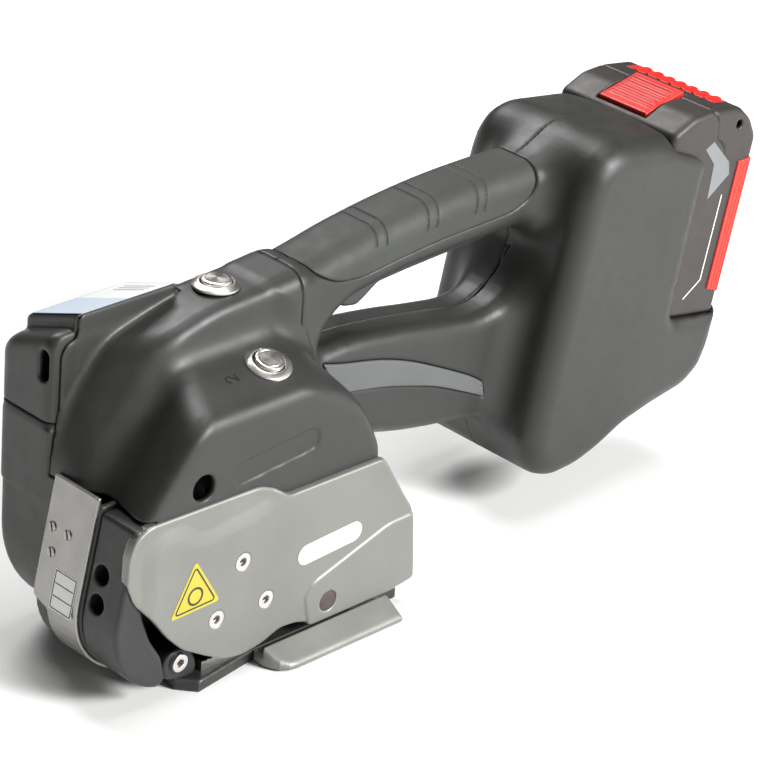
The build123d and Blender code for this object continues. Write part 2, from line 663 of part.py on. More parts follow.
# ---- Push buttons ----------------------------------------------------------------------------
TRAVEL = 1.5
for place, normal, name in (
    (TENSION_BUTTON, (0, 0, 1), "tension"),
    (WELD_BUTTON, PLATFORM, "weld"),
):
    seat = Plane(origin=place, x_dir=(1, 0, 0), z_dir=normal)
    with BuildPart() as bezel:
        with BuildSketch(seat):
            Circle(BEZEL_RADIUS)
        extrude(amount=BEZEL_HEIGHT)
        chamfer(bezel.edges().sort_by(Axis(place, normal))[-1], 1.0)
        with BuildSketch(seat):
            Circle(9.4)
        extrude(amount=-13)
        with BuildSketch(seat.offset(-13)):
            Circle(ACTUATOR_RADIUS + RUN)
        extrude(amount=20, mode=Mode.SUBTRACT)
    with BuildPart() as actuator:
        with BuildSketch(seat.offset(-7)):
            Circle(ACTUATOR_RADIUS)
        extrude(amount=7 + BEZEL_HEIGHT + BUTTON_PROUD)
        fillet(actuator.edges().sort_by(Axis(place, normal))[-1], 0.5)
    with BuildPart() as switch:
        with BuildSketch(seat.offset(-13)):
            Circle(9.0)
        extrude(amount=-9)
    save(bezel, f"{name}_button_bezel")
    save(actuator, f"{name}_button")
    save(switch, f"{name}_switch")

# ---- Battery housing -------------------------------------------------------------------------
LEAN_SLOPE = tan(radians(LEAN))
HOUSING_OUTLINE = [
    (160, 45), (164, 33), (172, 24), (183, 19.5), (200, 20.5), (215, 25), (232, 32.5), (252, 37),
    (277, 41), (289, 49), (295, 62), (299, 83), (262, 86), (276, 168), (268, 177), (246, 187),
    (207, 192.5), (196, 190), (188.5, 182.5), (184.5, 172), (172, 109),
]
BATTERY_OUTLINE = [
    (294, 78), (309.2, 160), (311.3, 171), (306, 181), (297, 189), (276, 192), (262, 191.4),
    (247.5, 185.5), (229.5, 90),
]


def housing_form(inset):
    """The rounded outside of the battery housing, or its hollow."""
    with BuildPart(mode=Mode.PRIVATE) as made:
        with BuildSketch(side(HANDLE_Y + HOUSING_WIDTH / 2 - inset)):
            with BuildLine():
                Polyline(*HOUSING_OUTLINE, close=True)
            make_face()
            if inset:
                offset(amount=-inset, kind=Kind.INTERSECTION)
        extrude(amount=HOUSING_WIDTH - 2 * inset)
    return made.part


def battery_form(grow):
    """The battery's outside, or the pocket that it slides into."""
    half = BATTERY_WIDTH / 2 + grow
    with BuildPart(mode=Mode.PRIVATE) as made:
        with BuildSketch(side(HANDLE_Y + half)):
            with BuildLine():
                Polyline(*BATTERY_OUTLINE, close=True)
            make_face()
            if grow:
                offset(amount=grow, kind=Kind.INTERSECTION)
        extrude(amount=2 * half)
    return made.part


POCKET_GAP = 0.4
up_lean = Vector(sin(radians(LEAN)), 0, cos(radians(LEAN)))
pocket = battery_form(POCKET_GAP)
pocket += Pos(*(up_lean * 40)) * pocket
pocket += Pos(*(up_lean * 80)) * battery_form(POCKET_GAP)
with BuildPart() as housing_skin:
    add(housing_form(0))
    rounded = [
        e for e in housing_skin.edges()
        if abs(abs(e.center().Y - HANDLE_Y) - HOUSING_WIDTH / 2) < 0.1 and e.center().X < 262
    ]
    fillet(rounded, 8)
outer_housing = housing_skin.part
housing_hollow = housing_form(WALL + 0.6) - battery_form(POCKET_GAP + 3.5)
housing_hollow -= brick((240, -80, 100), (330, 80, 230))
housing_shell = outer_housing - housing_hollow - pocket

# ---- Handle and strut ------------------------------------------------------------------------
HANDLE_TOP = [(HANDLE_START - 2, 167.2), (63, 173.7), (95, 177.6), (126, 180.2), (158, 181), (196, 181)]
HANDLE_UNDER = [(196, 150), (150, 148.6), (100, 147), (70, 144), (56, 140.5), (45, 132.5), (36, 118)]
STRUT_TOP = [(28, 121), (56, 122.5), (93, 118.5), (125, 113), (148, 110.5), (166, 116), (182, 128)]
STRUT_UNDER = [(182, 50), (130, 57), (80, 66.5), (40, 79)]


def bar_form(top, under, grow, radius):
    """A rounded bar across the handle's middle plane, between an upper and a lower line.

    grow moves both lines and both sides outwards.
    """
    top = [(x, z + grow) for x, z in top]
    under = [(x, z - grow) for x, z in under]
    with BuildPart(mode=Mode.PRIVATE) as made:
        with BuildSketch(side(HANDLE_Y + HANDLE_WIDTH / 2 + grow)):
            with BuildLine():
                Spline(*top)
                Line(top[-1], under[0])
                Spline(*under)
                Line(under[-1], top[0])
            make_face()
        extrude(amount=HANDLE_WIDTH + 2 * grow)
        long_edges = [e for e in made.edges() if abs(e.length) > 60 and not e.is_closed]
        if radius:
            fillet(long_edges, radius)
    return made.part


handle_solid = bar_form(HANDLE_TOP, HANDLE_UNDER, 0, 11) - outer_form - outer_housing
strut_solid = bar_form(STRUT_TOP, STRUT_UNDER, 0, 8) - outer_form - outer_housing
handle_solid -= strut_solid
near_side = brick((-200, -100, -10), (400, HANDLE_Y, 300))

LEVER_SLOT = LEVER_WIDTH + 1.0
LEVER_X, LEVER_Z = LEVER_PIVOT
LEVER_OUTLINE = [
    (40, 149), (46, 146), (54, 140.5), (60, 136), (68, 134.6), (74, 138), (81, 142.6), (100, 144),
    (126, 145.3), (152, 146.6), (157, 149.5), (156, 153), (60, 154.5), (47, 158), (40, 156),
]
# The hollow of the handle is open below, so that the lever can swing up into it.
lever_room = slab(
    [(37, 139), (52, 134), (70, 130), (162, 140), (163, 170), (120, 168), (60, 159), (48, 162), (37, 160)],
    HANDLE_Y - LEVER_SLOT / 2, HANDLE_Y + LEVER_SLOT / 2,
)

GRIP_OUTLINE = [
    (26, 200), (26, 171), (33, 162.5), (46, 156), (62, 154.5), (86, 157.5), (112, 159.8), (140, 160.8),
    (160, 161.5), (170, 166), (174, 174), (174, 200),
]
GRIP_DEPTH = 1.6
grip_region = slab(GRIP_OUTLINE, -60, 60)
grip_core = bar_form(HANDLE_TOP, HANDLE_UNDER, -GRIP_DEPTH, 9.4)
grip_blank = bar_form(HANDLE_TOP, HANDLE_UNDER, 0.5, 11.5) & grip_region
with BuildPart() as grip_insert:
    add(grip_blank - grip_core - outer_form - outer_housing)
handle_shell = handle_solid - lever_room - (grip_region - grip_core)

with BuildPart() as handle_near_half:
    add(handle_shell & near_side)
    add(turned(2.55, 60, -30, LEVER_X, LEVER_Z), mode=Mode.SUBTRACT)
with BuildPart() as handle_far_half:
    add(handle_shell - near_side)
    add(turned(2.55, 60, -30, LEVER_X, LEVER_Z), mode=Mode.SUBTRACT)

with BuildPart() as squeeze_lever:
    add(slab(LEVER_OUTLINE, HANDLE_Y - LEVER_WIDTH / 2, HANDLE_Y + LEVER_WIDTH / 2))
    add(turned(2.5 + RUN, 40, -30, LEVER_X, LEVER_Z), mode=Mode.SUBTRACT)
# A coil spring stands between the lever and the roof of the handle's hollow.
SPRING_X, SPRING_LOW, SPRING_HIGH, SPRING_WIRE = 140.0, 154.0, 168.2, 0.9
with BuildPart() as lever_spring:
    with BuildLine():
        coil = Helix(
            pitch=2.7, height=SPRING_HIGH - SPRING_LOW - 2 * SPRING_WIRE, radius=4,
            center=(SPRING_X, HANDLE_Y, SPRING_LOW + SPRING_WIRE),
        )
    with BuildSketch(Plane(origin=coil @ 0, z_dir=coil % 0)):
        Circle(SPRING_WIRE / 2)
    sweep()
with BuildPart() as lever_pin:
    add(turned(2.5, 30, HANDLE_Y - 15, LEVER_X, LEVER_Z))

TRIM_UPPER = [(40, 116.5), (53, 113), (76, 108), (96, 101.5), (117, 92), (139, 81), (149, 74.5)]
TRIM_LOWER = [(151, 66.2), (140, 71.5), (118, 81.5), (98, 88), (77, 93.5), (49, 98.5)]
TRIM_DEPTH = 1.2
STRUT_NEAR = HANDLE_Y - HANDLE_WIDTH / 2
with BuildPart() as trim_region:
    with BuildSketch(side(STRUT_NEAR + TRIM_DEPTH)):
        with BuildLine():
            Spline(*TRIM_UPPER)
            ThreePointArc(TRIM_UPPER[-1], (153.5, 69.5), TRIM_LOWER[0])
            Spline(*TRIM_LOWER)
            Line(TRIM_LOWER[-1], TRIM_UPPER[0])
        make_face()
    extrude(amount=TRIM_DEPTH + 0.4)

strut_core = bar_form(STRUT_TOP, STRUT_UNDER, -4.5, 0)
strut_shell = strut_solid - strut_core
with BuildPart() as strut_trim:
    add(trim_region.part - outer_form - outer_housing)

# Screws join the halves from the far side, each in a boss of both halves.
BOSS_RADIUS, SHELL_SCREW = 4.2, 1.6
STRUT_SCREWS = [(76, 94), (134, 87)]
HOUSING_SCREWS = [(181, 50), (196, 172), (244, 58)]


def with_bosses(shell_solid, places, near, far):
    """Adds a bored boss with a head recess at each place of a split shell."""
    for x, z in places:
        shell_solid += turned(BOSS_RADIUS, far - near - 3, near + 2, x, z)
    for x, z in places:
        shell_solid -= turned(SHELL_SCREW, far - near - 3, near + 4, x, z)
        shell_solid -= turned(3.4, 6, far - 3, x, z)
    return shell_solid


STRUT_FAR, HOUSING_FAR = HANDLE_Y + HANDLE_WIDTH / 2, HANDLE_Y + HOUSING_WIDTH / 2
strut_shell = with_bosses(strut_shell, STRUT_SCREWS, STRUT_NEAR, STRUT_FAR)
housing_shell = with_bosses(housing_shell, HOUSING_SCREWS, HANDLE_Y - HOUSING_WIDTH / 2, HOUSING_FAR)
with BuildPart() as strut_near_half:
    add((strut_shell & near_side) - trim_region.part)
with BuildPart() as strut_far_half:
    add(strut_shell - near_side)
with BuildPart() as housing_near_half:
    add(housing_shell & near_side)
with BuildPart() as housing_far_half:
    add(housing_shell - near_side)
with BuildPart() as shell_screws:
    for places, far in ((STRUT_SCREWS, STRUT_FAR), (HOUSING_SCREWS, HOUSING_FAR)):
        for x, z in places:
            add(turned(3.2, 2.2, far - 3, x, z))
            add(turned(1.55, 18, far - 21, x, z))
            with BuildSketch(axis_plane(x, far - 0.5, z)):
                RegularPolygon(1.6, 6)
            extrude(amount=1.5, mode=Mode.SUBTRACT)

across_lean = (cos(radians(LEAN)), 0, -sin(radians(LEAN)))
board_plane = Plane(origin=(200, HANDLE_Y, 110), x_dir=across_lean, z_dir=(0, -1, 0))
with BuildPart() as control_board:
    with BuildSketch(board_plane.offset(-32)):
        Rectangle(1.6, 96)
    extrude(amount=64)
    with BuildSketch(board_plane.offset(-24)):
        with Locations((3.8, 30), (3.8, -5)):
            Rectangle(6, 14)
    extrude(amount=16)
with BuildPart() as terminal_block:
    with BuildSketch(board_plane.offset(-20)):
        with Locations((23.2, 12)):
            Rectangle(11, 30)
    extrude(amount=40)

# ---- Battery ---------------------------------------------------------------------------------
CELL_RADIUS, CELL_LENGTH = 9.2, 64.0
CELL_PITCH = 18.8
battery_plane = Plane(origin=(261.75, HANDLE_Y, 84), x_dir=across_lean, z_dir=(0, -1, 0))
RELEASE_OUTLINE = [(252, 184.8), (278.5, 190.2), (277.6, 194.2), (251.2, 188.8)]
RELEASE_WIDTH = 34.0
RELEASE_TRAVEL = 2.0

battery_solid = battery_form(0)
with BuildPart() as battery_case:
    add(battery_solid)
    side_edges = [
        e for e in battery_case.edges() if abs(abs(e.center().Y - HANDLE_Y) - BATTERY_WIDTH / 2) < 0.1
    ]
    fillet(side_edges, 3.5)
    with BuildSketch(side(HANDLE_Y + BATTERY_WIDTH / 2 - 2.5)):
        with BuildLine():
            Polyline(*BATTERY_OUTLINE, close=True)
        make_face()
        offset(amount=-2.5, kind=Kind.INTERSECTION)
    extrude(amount=BATTERY_WIDTH - 5, mode=Mode.SUBTRACT)
    for sink in (0, RELEASE_TRAVEL + 0.2):
        with BuildSketch(side(HANDLE_Y + RELEASE_WIDTH / 2 + 0.3)):
            with BuildLine():
                Polyline(*[(x + 0.2 * sink, z - 0.98 * sink) for x, z in RELEASE_OUTLINE], close=True)
            make_face()
            offset(amount=0.3, kind=Kind.INTERSECTION)
        extrude(amount=RELEASE_WIDTH + 0.6, mode=Mode.SUBTRACT)

with BuildPart() as battery_cells:
    for row in range(5):
        for column in (-0.5, 0.5):
            spot = Vector(column * CELL_PITCH, 13 + row * CELL_PITCH, CELL_LENGTH / 2)
            with BuildSketch(axis_plane(*battery_plane.from_local_coords(spot))):
                Circle(CELL_RADIUS)
            extrude(amount=-CELL_LENGTH)

with BuildPart() as battery_release:
    add(slab(RELEASE_OUTLINE, HANDLE_Y - RELEASE_WIDTH / 2, HANDLE_Y + RELEASE_WIDTH / 2))
    chamfer(battery_release.edges().filter_by(Axis.Y).group_by(Axis.Z)[-1], 0.6)

STRIP_PROUD = 0.8
with BuildPart() as battery_side_strips:
    for face_y in (HANDLE_Y - BATTERY_WIDTH / 2, HANDLE_Y + BATTERY_WIDTH / 2 + STRIP_PROUD):
        with BuildSketch(side(face_y)):
            with BuildLine():
                Polyline((299.6, 159.6), (307.6, 159.6), (295.2, 94), (287.2, 94), close=True)
            make_face()
        extrude(amount=STRIP_PROUD)

for piece, name in (
    (handle_near_half, "handle_near_half"), (handle_far_half, "handle_far_half"),
    (grip_insert, "grip_insert"), (squeeze_lever, "squeeze_lever"), (lever_pin, "lever_pin"),
    (lever_spring, "lever_spring"),
    (strut_trim, "strut_trim"), (strut_near_half, "strut_near_half"), (strut_far_half, "strut_far_half"),
    (housing_near_half, "housing_near_half"), (housing_far_half, "housing_far_half"),
    (shell_screws, "shell_screws"), (control_board, "control_board"), (terminal_block, "terminal_block"),
    (battery_side_strips, "battery_side_strips"),
    (battery_case, "battery_case"), (battery_cells, "battery_cells"), (battery_release, "battery_release"),
):
    save(piece, name)
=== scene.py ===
"""Looks of the battery strapping tool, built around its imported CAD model.

Lengths inside the shape functions are millimetres, as the design is drawn; meshes are made in metres.
The moulded and cast parts are written as distance functions: negative inside, positive outside.
"""

import math

import bpy
import numpy as np
from mathutils import Matrix, Vector


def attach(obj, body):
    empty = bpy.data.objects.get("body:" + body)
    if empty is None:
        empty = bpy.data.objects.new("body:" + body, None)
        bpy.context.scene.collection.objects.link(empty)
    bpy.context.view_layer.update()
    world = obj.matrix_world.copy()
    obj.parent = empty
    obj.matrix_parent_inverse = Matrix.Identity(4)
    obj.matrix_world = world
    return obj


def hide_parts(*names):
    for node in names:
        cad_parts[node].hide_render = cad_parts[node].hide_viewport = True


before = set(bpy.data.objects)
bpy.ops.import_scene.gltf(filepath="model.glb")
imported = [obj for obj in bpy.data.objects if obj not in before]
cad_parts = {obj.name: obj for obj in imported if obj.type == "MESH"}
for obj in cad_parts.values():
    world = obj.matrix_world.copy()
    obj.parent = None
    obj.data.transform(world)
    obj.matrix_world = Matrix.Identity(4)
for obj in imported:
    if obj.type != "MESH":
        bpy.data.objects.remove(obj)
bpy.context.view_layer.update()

MM = 0.001

# ---- Distances -------------------------------------------------------------------------------


def polygon(points, x, z):
    """Signed distance to a closed outline in X and Z."""
    best = 1e12
    inside = False
    for (ax, az), (bx, bz) in zip(points, points[1:] + points[:1]):
        ex, ez = bx - ax, bz - az
        px, pz = x - ax, z - az
        t = np.clip((px * ex + pz * ez) / (ex * ex + ez * ez), 0, 1)
        best = np.minimum(best, (px - ex * t) ** 2 + (pz - ez * t) ** 2)
        spans = (az > z) != (bz > z)
        inside = inside ^ (spans & (px < ex * pz / (ez or 1.0)))
    return np.where(inside, -1.0, 1.0) * np.sqrt(best)


def rounded(points, radius):
    """An outline whose corners are short curves that start about radius from each corner."""
    made = []
    for before, at, after in zip(points[-1:] + points[:-1], points, points[1:] + points[:1]):
        at, before, after = np.array(at), np.array(before), np.array(after)
        back, ahead = before - at, after - at
        start = at + back * min(radius / np.hypot(*back), 0.45)
        end = at + ahead * min(radius / np.hypot(*ahead), 0.45)
        for t in (0, 0.25, 0.5, 0.75, 1):
            spot = start * (1 - t) ** 2 + at * 2 * t * (1 - t) + end * t**2
            made.append((float(spot[0]), float(spot[1])))
    return made


def smooth_line(points, steps=8):
    """An open curve through the points, as a denser list."""
    pts = np.array([points[0], *points, points[-1]], float)
    made = []
    for i in range(1, len(pts) - 2):
        a, b, c, d = pts[i - 1 : i + 3]
        for t in np.arange(steps) / steps:
            spot = 0.5 * (
                2 * b + (c - a) * t + (2 * a - 5 * b + 4 * c - d) * t**2 + (3 * b - a - 3 * c + d) * t**3
            )
            made.append((float(spot[0]), float(spot[1])))
    return made + [tuple(points[-1])]


def extruded(plan, across, radius=0.0):
    """A flat distance and a distance across it, made into a solid with its two rims rounded."""
    u, v = plan + radius, across + radius
    return np.minimum(np.maximum(u, v), 0) + np.hypot(np.maximum(u, 0), np.maximum(v, 0)) - radius


def band(v, low, high):
    """Distance to the space between two parallel planes."""
    return np.abs(v - (low + high) / 2) - (high - low) / 2


def smax(a, b, k):
    """The larger of two distances, with the edge where they meet rounded."""
    return np.maximum(a, b) + np.maximum(k - np.abs(a - b), 0) ** 2 / (4 * k)


def smin(a, b, k):
    """The smaller of two distances, with the inner corner where they meet filled."""
    return -smax(-a, -b, k)


def plane(point, normal, x, y, z):
    """Signed height over a plane."""
    n = np.array(normal, float)
    n /= np.linalg.norm(n)
    return (x - point[0]) * n[0] + (y - point[1]) * n[1] + (z - point[2]) * n[2]


def inside_planes(planes, k, x, y, z):
    """A solid bounded by planes, with rounded edges."""
    made = plane(*planes[0], x, y, z)
    for place in planes[1:]:
        made = smax(made, plane(*place, x, y, z), k)
    return made


def rod(point, direction, radius, x, y, z):
    """Distance to an endless round rod."""
    n = np.array(direction, float)
    n /= np.linalg.norm(n)
    dx, dy, dz = x - point[0], y - point[1], z - point[2]
    along = dx * n[0] + dy * n[1] + dz * n[2]
    return np.sqrt(np.maximum(dx**2 + dy**2 + dz**2 - along**2, 0)) - radius


# ---- Meshes ----------------------------------------------------------------------------------
CORNERS = [(i, j, k) for i in (0, 1) for j in (0, 1) for k in (0, 1)]
CELL_EDGES = [
    (a, b) for a in range(8) for b in range(a + 1, 8)
    if sum(abs(p - q) for p, q in zip(CORNERS[a], CORNERS[b])) == 1
]


def net(shape, low, high, step):
    """Points and quads of the surface where a distance function is zero."""
    axes = [np.arange(a - 1.5 * step, b + 2.5 * step, step) for a, b in zip(low, high)]
    x, y, z = np.meshgrid(*axes, indexing="ij", sparse=True)
    d = np.broadcast_to(shape(x, y, z), [len(a) for a in axes]).astype(np.float32)
    neg = d < 0
    rows, columns, layers = (n - 1 for n in neg.shape)
    counts = sum(
        neg[i : rows + i, j : columns + j, k : layers + k].astype(np.int8) for i, j, k in CORNERS
    )
    cells = np.argwhere((counts > 0) & (counts < 8))
    values = np.stack([d[tuple((cells + c).T)] for c in CORNERS])
    total = np.zeros((len(cells), 3))
    hits = np.zeros(len(cells))
    for a, b in CELL_EDGES:
        cut = (values[a] < 0) != (values[b] < 0)
        gap = np.where(cut, values[a] - values[b], 1.0)
        t = np.where(cut, values[a] / gap, 0.0)[:, None]
        spot = np.array(CORNERS[a]) * (1 - t) + np.array(CORNERS[b]) * t
        total += spot * cut[:, None]
        hits += cut
    origin = np.array([a[0] for a in axes])
    points = origin + (cells + total / hits[:, None]) * step
    ids = np.full(counts.shape, -1, np.int64)
    ids[tuple(cells.T)] = np.arange(len(cells))
    quads = []
    unit = np.eye(3, dtype=int)
    for axis in range(3):
        u, v = unit[(axis + 1) % 3], unit[(axis + 2) % 3]
        lower = neg[tuple(slice(0, -1) if i == axis else slice(1, -1) for i in range(3))]
        upper = neg[tuple(slice(1, None) if i == axis else slice(1, -1) for i in range(3))]
        crossing = np.argwhere(lower != upper)
        facing = lower[tuple(crossing.T)]
        at = crossing + u + v
        ring = np.stack([ids[tuple((at - s).T)] for s in (u + v, v, 0 * u, u)], axis=1)
        quads.append(np.where(facing[:, None], ring, ring[:, ::-1]))
    return settled(shape, points, step), np.concatenate(quads)


def settled(shape, points, step):
    """Points moved on to the true surface along its slope."""
    reach = 0.2 * step
    for _ in range(3):
        x, y, z = points.T
        here = shape(x, y, z)
        slope = np.stack([
            shape(x + reach * (i == 0), y + reach * (i == 1), z + reach * (i == 2))
            - shape(x - reach * (i == 0), y - reach * (i == 1), z - reach * (i == 2)) for i in range(3)
        ], axis=1) / (2 * reach)
        size = np.maximum((slope**2).sum(axis=1), 0.2)
        move = slope * (here / size)[:, None]
        length = np.linalg.norm(move, axis=1, keepdims=True)
        points = points - move * np.minimum(1, 0.4 * step / np.maximum(length, 1e-9))
    return points


def mesh_object(name, points, faces, sharp=None):
    """A mesh from points in millimetres."""
    mesh = bpy.data.meshes.new(name)
    mesh.from_pydata((np.asarray(points) * MM).tolist(), [], [list(f) for f in faces])
    mesh.polygons.foreach_set("use_smooth", [True] * len(mesh.polygons))
    if sharp:
        mesh.set_sharp_from_angle(angle=math.radians(sharp))
    made = bpy.data.objects.new(name, mesh)
    bpy.context.scene.collection.objects.link(made)
    return made


def moulded(name, shape, low, high, step, sharp=None):
    """A mesh of a distance function within a box."""
    points, quads = net(shape, low, high, step)
    return mesh_object(name, points, quads, sharp)


def revolved(name, profile, origin, direction, turns=64, sharp=35):
    """A turned piece with its own origin on its axis. The profile lists radius and height."""
    points, faces = [], []
    for radius, height in profile:
        for i in range(turns):
            angle = 2 * math.pi * i / turns
            points.append((radius * math.cos(angle), radius * math.sin(angle), height))
    for row in range(len(profile) - 1):
        for i in range(turns):
            a, b = row * turns + i, row * turns + (i + 1) % turns
            faces.append((a, b, b + turns, a + turns))
    faces.append(tuple(range(turns))[::-1])
    faces.append(tuple(range((len(profile) - 1) * turns, len(profile) * turns)))
    made = mesh_object(name, points, faces, sharp)
    made.matrix_world = in_metres(place_at(origin, direction))
    return made


def in_metres(place):
    """A place in millimetres as an object's own place."""
    moved = place.copy()
    moved.translation = place.translation * MM
    return moved


def prism(name, outline, place, depth, sharp=30, bevel=0.0):
    """A flat outline, given in the place's own X and Y, made depth thick below the place."""
    count = len(outline)
    points = [place @ Vector((x, y, 0)) for x, y in outline]
    points += [place @ Vector((x, y, -depth)) for x, y in outline]
    faces = [tuple(range(count)), tuple(range(2 * count - 1, count - 1, -1))]
    faces += [(i, count + i, count + (i + 1) % count, (i + 1) % count) for i in range(count)]
    made = mesh_object(name, [tuple(p) for p in points], faces, sharp)
    if bevel:
        cut = made.modifiers.new("edges", "BEVEL")
        cut.width, cut.segments, cut.limit_method = bevel * MM, 2, "ANGLE"
    return made


def joined(name, pieces):
    """Several meshes as one object."""
    with bpy.context.temp_override(active_object=pieces[0], selected_editable_objects=pieces):
        bpy.ops.object.join()
    pieces[0].name = name
    return pieces[0]


def place_at(point, normal, right=(1, 0, 0)):
    """A frame on a surface: Z out of it, X as near to right as it can be."""
    z = Vector(normal).normalized()
    x = (Vector(right) - z * Vector(right).dot(z)).normalized()
    y = z.cross(x)
    turn = Matrix((x, y, z)).transposed().to_4x4()
    return Matrix.Translation(Vector(point)) @ turn


def lifted(place, by):
    """The same place, moved out of its surface."""
    return place @ Matrix.Translation((0, 0, by))


# ---- Camera, floor and light -----------------------------------------------------------------
CAMERA_PLACE = (-0.9097, -0.9560, 0.7867)
CAMERA_RIGHT = (0.7121, -0.6980, 0.0746)
CAMERA_UP = (0.2701, 0.3705, 0.8887)


def add_camera():
    """The camera, fixed at the view that the object was drawn from."""
    data = bpy.data.cameras.new("camera")
    data.lens, data.sensor_width = 156.3, 36.0
    data.clip_start, data.clip_end = 0.05, 30
    made = bpy.data.objects.new("camera", data)
    bpy.context.scene.collection.objects.link(made)
    right = Vector(CAMERA_RIGHT).normalized()
    back = right.cross(Vector(CAMERA_UP)).normalized()
    turn = Matrix((right, back.cross(right), back)).transposed().to_4x4()
    made.matrix_world = Matrix.Translation(CAMERA_PLACE) @ turn
    bpy.context.scene.camera = made


def area_light(name, place, target, size, power):
    """A soft rectangular light aimed at a target."""
    data = bpy.data.lights.new(name, "AREA")
    data.shape, data.size, data.size_y = "RECTANGLE", size[0], size[1]
    data.energy = power
    made = bpy.data.objects.new(name, data)
    made.location = place
    made.rotation_euler = (Vector(place) - Vector(target)).to_track_quat("Z", "Y").to_euler()
    bpy.context.scene.collection.objects.link(made)


def add_studio():
    """A pale floor, a dim white surround and three soft lights."""
    mesh = bpy.data.meshes.new("floor")
    mesh.from_pydata([(-4, -4, 0), (4, -4, 0), (4, 4, 0), (-4, 4, 0)], [], [(0, 1, 2, 3)])
    floor = bpy.data.objects.new("floor", mesh)
    bpy.context.scene.collection.objects.link(floor)
    paper = bpy.data.materials.new("paper")
    paper.use_nodes = True
    shader = paper.node_tree.nodes["Principled BSDF"]
    shader.inputs["Base Color"].default_value = (0.93, 0.93, 0.92, 1)
    shader.inputs["Roughness"].default_value = 0.9
    mesh.materials.append(paper)
    world = bpy.data.worlds.new("studio")
    world.use_nodes = True
    world.node_tree.nodes["Background"].inputs["Color"].default_value = (1, 1, 1, 1)
    world.node_tree.nodes["Background"].inputs["Strength"].default_value = 0.09
    bpy.context.scene.world = world
    bpy.context.scene.view_settings.view_transform = "Standard"
    middle = (0.1, 0, 0.1)
    area_light("key", (1.5, -3.4, 2.05), middle, (1.3, 1.3), 290)
    area_light("back", (0.6, 1.9, 2.6), middle, (1.6, 1.2), 75)
    area_light("top", (0.6, -0.1, 3.0), middle, (1.6, 1.2), 30)


# ---- Materials -------------------------------------------------------------------------------


def noise(tree, scale, detail=3.0, stretch=(1, 1, 1)):
    """Noise that lies in the object's own space, scale in waves per metre."""
    nodes, links = tree.nodes, tree.links
    where = nodes.new("ShaderNodeTexCoord")
    mapping = nodes.new("ShaderNodeMapping")
    mapping.inputs["Scale"].default_value = stretch
    made = nodes.new("ShaderNodeTexNoise")
    made.inputs["Scale"].default_value = scale
    made.inputs["Detail"].default_value = detail
    links.new(where.outputs["Object"], mapping.inputs["Vector"])
    links.new(mapping.outputs["Vector"], made.inputs["Vector"])
    return made.outputs["Fac"]


def ramp(tree, source, low, high, colours):
    """Turns a value into one of two colours, or a mix."""
    made = tree.nodes.new("ShaderNodeValToRGB")
    made.color_ramp.elements[0].position, made.color_ramp.elements[1].position = low, high
    made.color_ramp.elements[0].color = (*colours[0], 1)
    made.color_ramp.elements[1].color = (*colours[1], 1)
    tree.links.new(source, made.inputs["Fac"])
    return made.outputs["Color"]


def ranged(tree, source, low, high, start=0.3, end=0.7):
    """Maps a value to a range."""
    made = tree.nodes.new("ShaderNodeMapRange")
    made.inputs["From Min"].default_value, made.inputs["From Max"].default_value = start, end
    made.inputs["To Min"].default_value, made.inputs["To Max"].default_value = low, high
    tree.links.new(source, made.inputs["Value"])
    return made.outputs["Result"]


def material(name, dark, light, roughness, metal=0.0, patch=25.0, bumps=(), specular=0.5, wear=None):
    """A surface whose colour and roughness drift a little, with one or two sizes of fine bump.

    bumps holds (waves per metre, height in millimetres, stretch); wear is the colour of rubbed edges.
    """
    made = bpy.data.materials.new(name)
    made.use_nodes = True
    tree = made.node_tree
    shader = tree.nodes["Principled BSDF"]
    shader.inputs["Metallic"].default_value = metal
    shader.inputs["Specular IOR Level"].default_value = specular
    drift = noise(tree, patch, 4)
    colour = ramp(tree, drift, 0.3, 0.7, (dark, light))
    if wear:
        point = tree.nodes.new("ShaderNodeNewGeometry")
        edge = ranged(tree, point.outputs["Pointiness"], 0, 0.6, 0.52, 0.62)
        mix = tree.nodes.new("ShaderNodeMix")
        mix.data_type = "RGBA"
        mix.inputs["B"].default_value = (*wear, 1)
        tree.links.new(edge, mix.inputs["Factor"])
        tree.links.new(colour, mix.inputs["A"])
        colour = mix.outputs["Result"]
    tree.links.new(colour, shader.inputs["Base Color"])
    gloss = ranged(tree, noise(tree, patch * 6, 5), roughness - 0.05, roughness + 0.05)
    tree.links.new(gloss, shader.inputs["Roughness"])
    normal = None
    for scale, height, stretch in bumps:
        bump = tree.nodes.new("ShaderNodeBump")
        bump.inputs["Distance"].default_value = height * MM
        tree.links.new(noise(tree, scale, 2, stretch), bump.inputs["Height"])
        if normal:
            tree.links.new(normal, bump.inputs["Normal"])
        normal = bump.outputs["Normal"]
    if normal:
        tree.links.new(normal, shader.inputs["Normal"])
    return made


ROUND = (1, 1, 1)
COVER = material(
    "cover_plastic", (0.023, 0.024, 0.0215), (0.029, 0.030, 0.027), 0.44,
    bumps=[(2600, 0.05, ROUND), (900, 0.03, ROUND)],
)
GRIP = material(
    "grip_rubber", (0.034, 0.036, 0.0325), (0.043, 0.046, 0.041), 0.62,
    bumps=[(1800, 0.05, ROUND)],
)
LEVER = material(
    "lever_plastic", (0.030, 0.031, 0.029), (0.038, 0.039, 0.037), 0.5,
    bumps=[(2600, 0.04, ROUND)],
)
BLACK = material(
    "black_moulding", (0.016, 0.016, 0.016), (0.022, 0.022, 0.021), 0.42,
    bumps=[(1500, 0.03, ROUND)],
)
PHOSPHATE = material(
    "dark_steel", (0.030, 0.030, 0.030), (0.045, 0.045, 0.044), 0.45, 0.3, 60,
    [(1500, 0.03, ROUND)], wear=(0.25, 0.24, 0.23),
)
CAST = material(
    "rocker_paint", (0.195, 0.195, 0.18), (0.235, 0.234, 0.216), 0.42, 0.35, 18,
    [(1400, 0.04, ROUND), (160, 0.05, ROUND)], wear=(0.62, 0.61, 0.58),
)
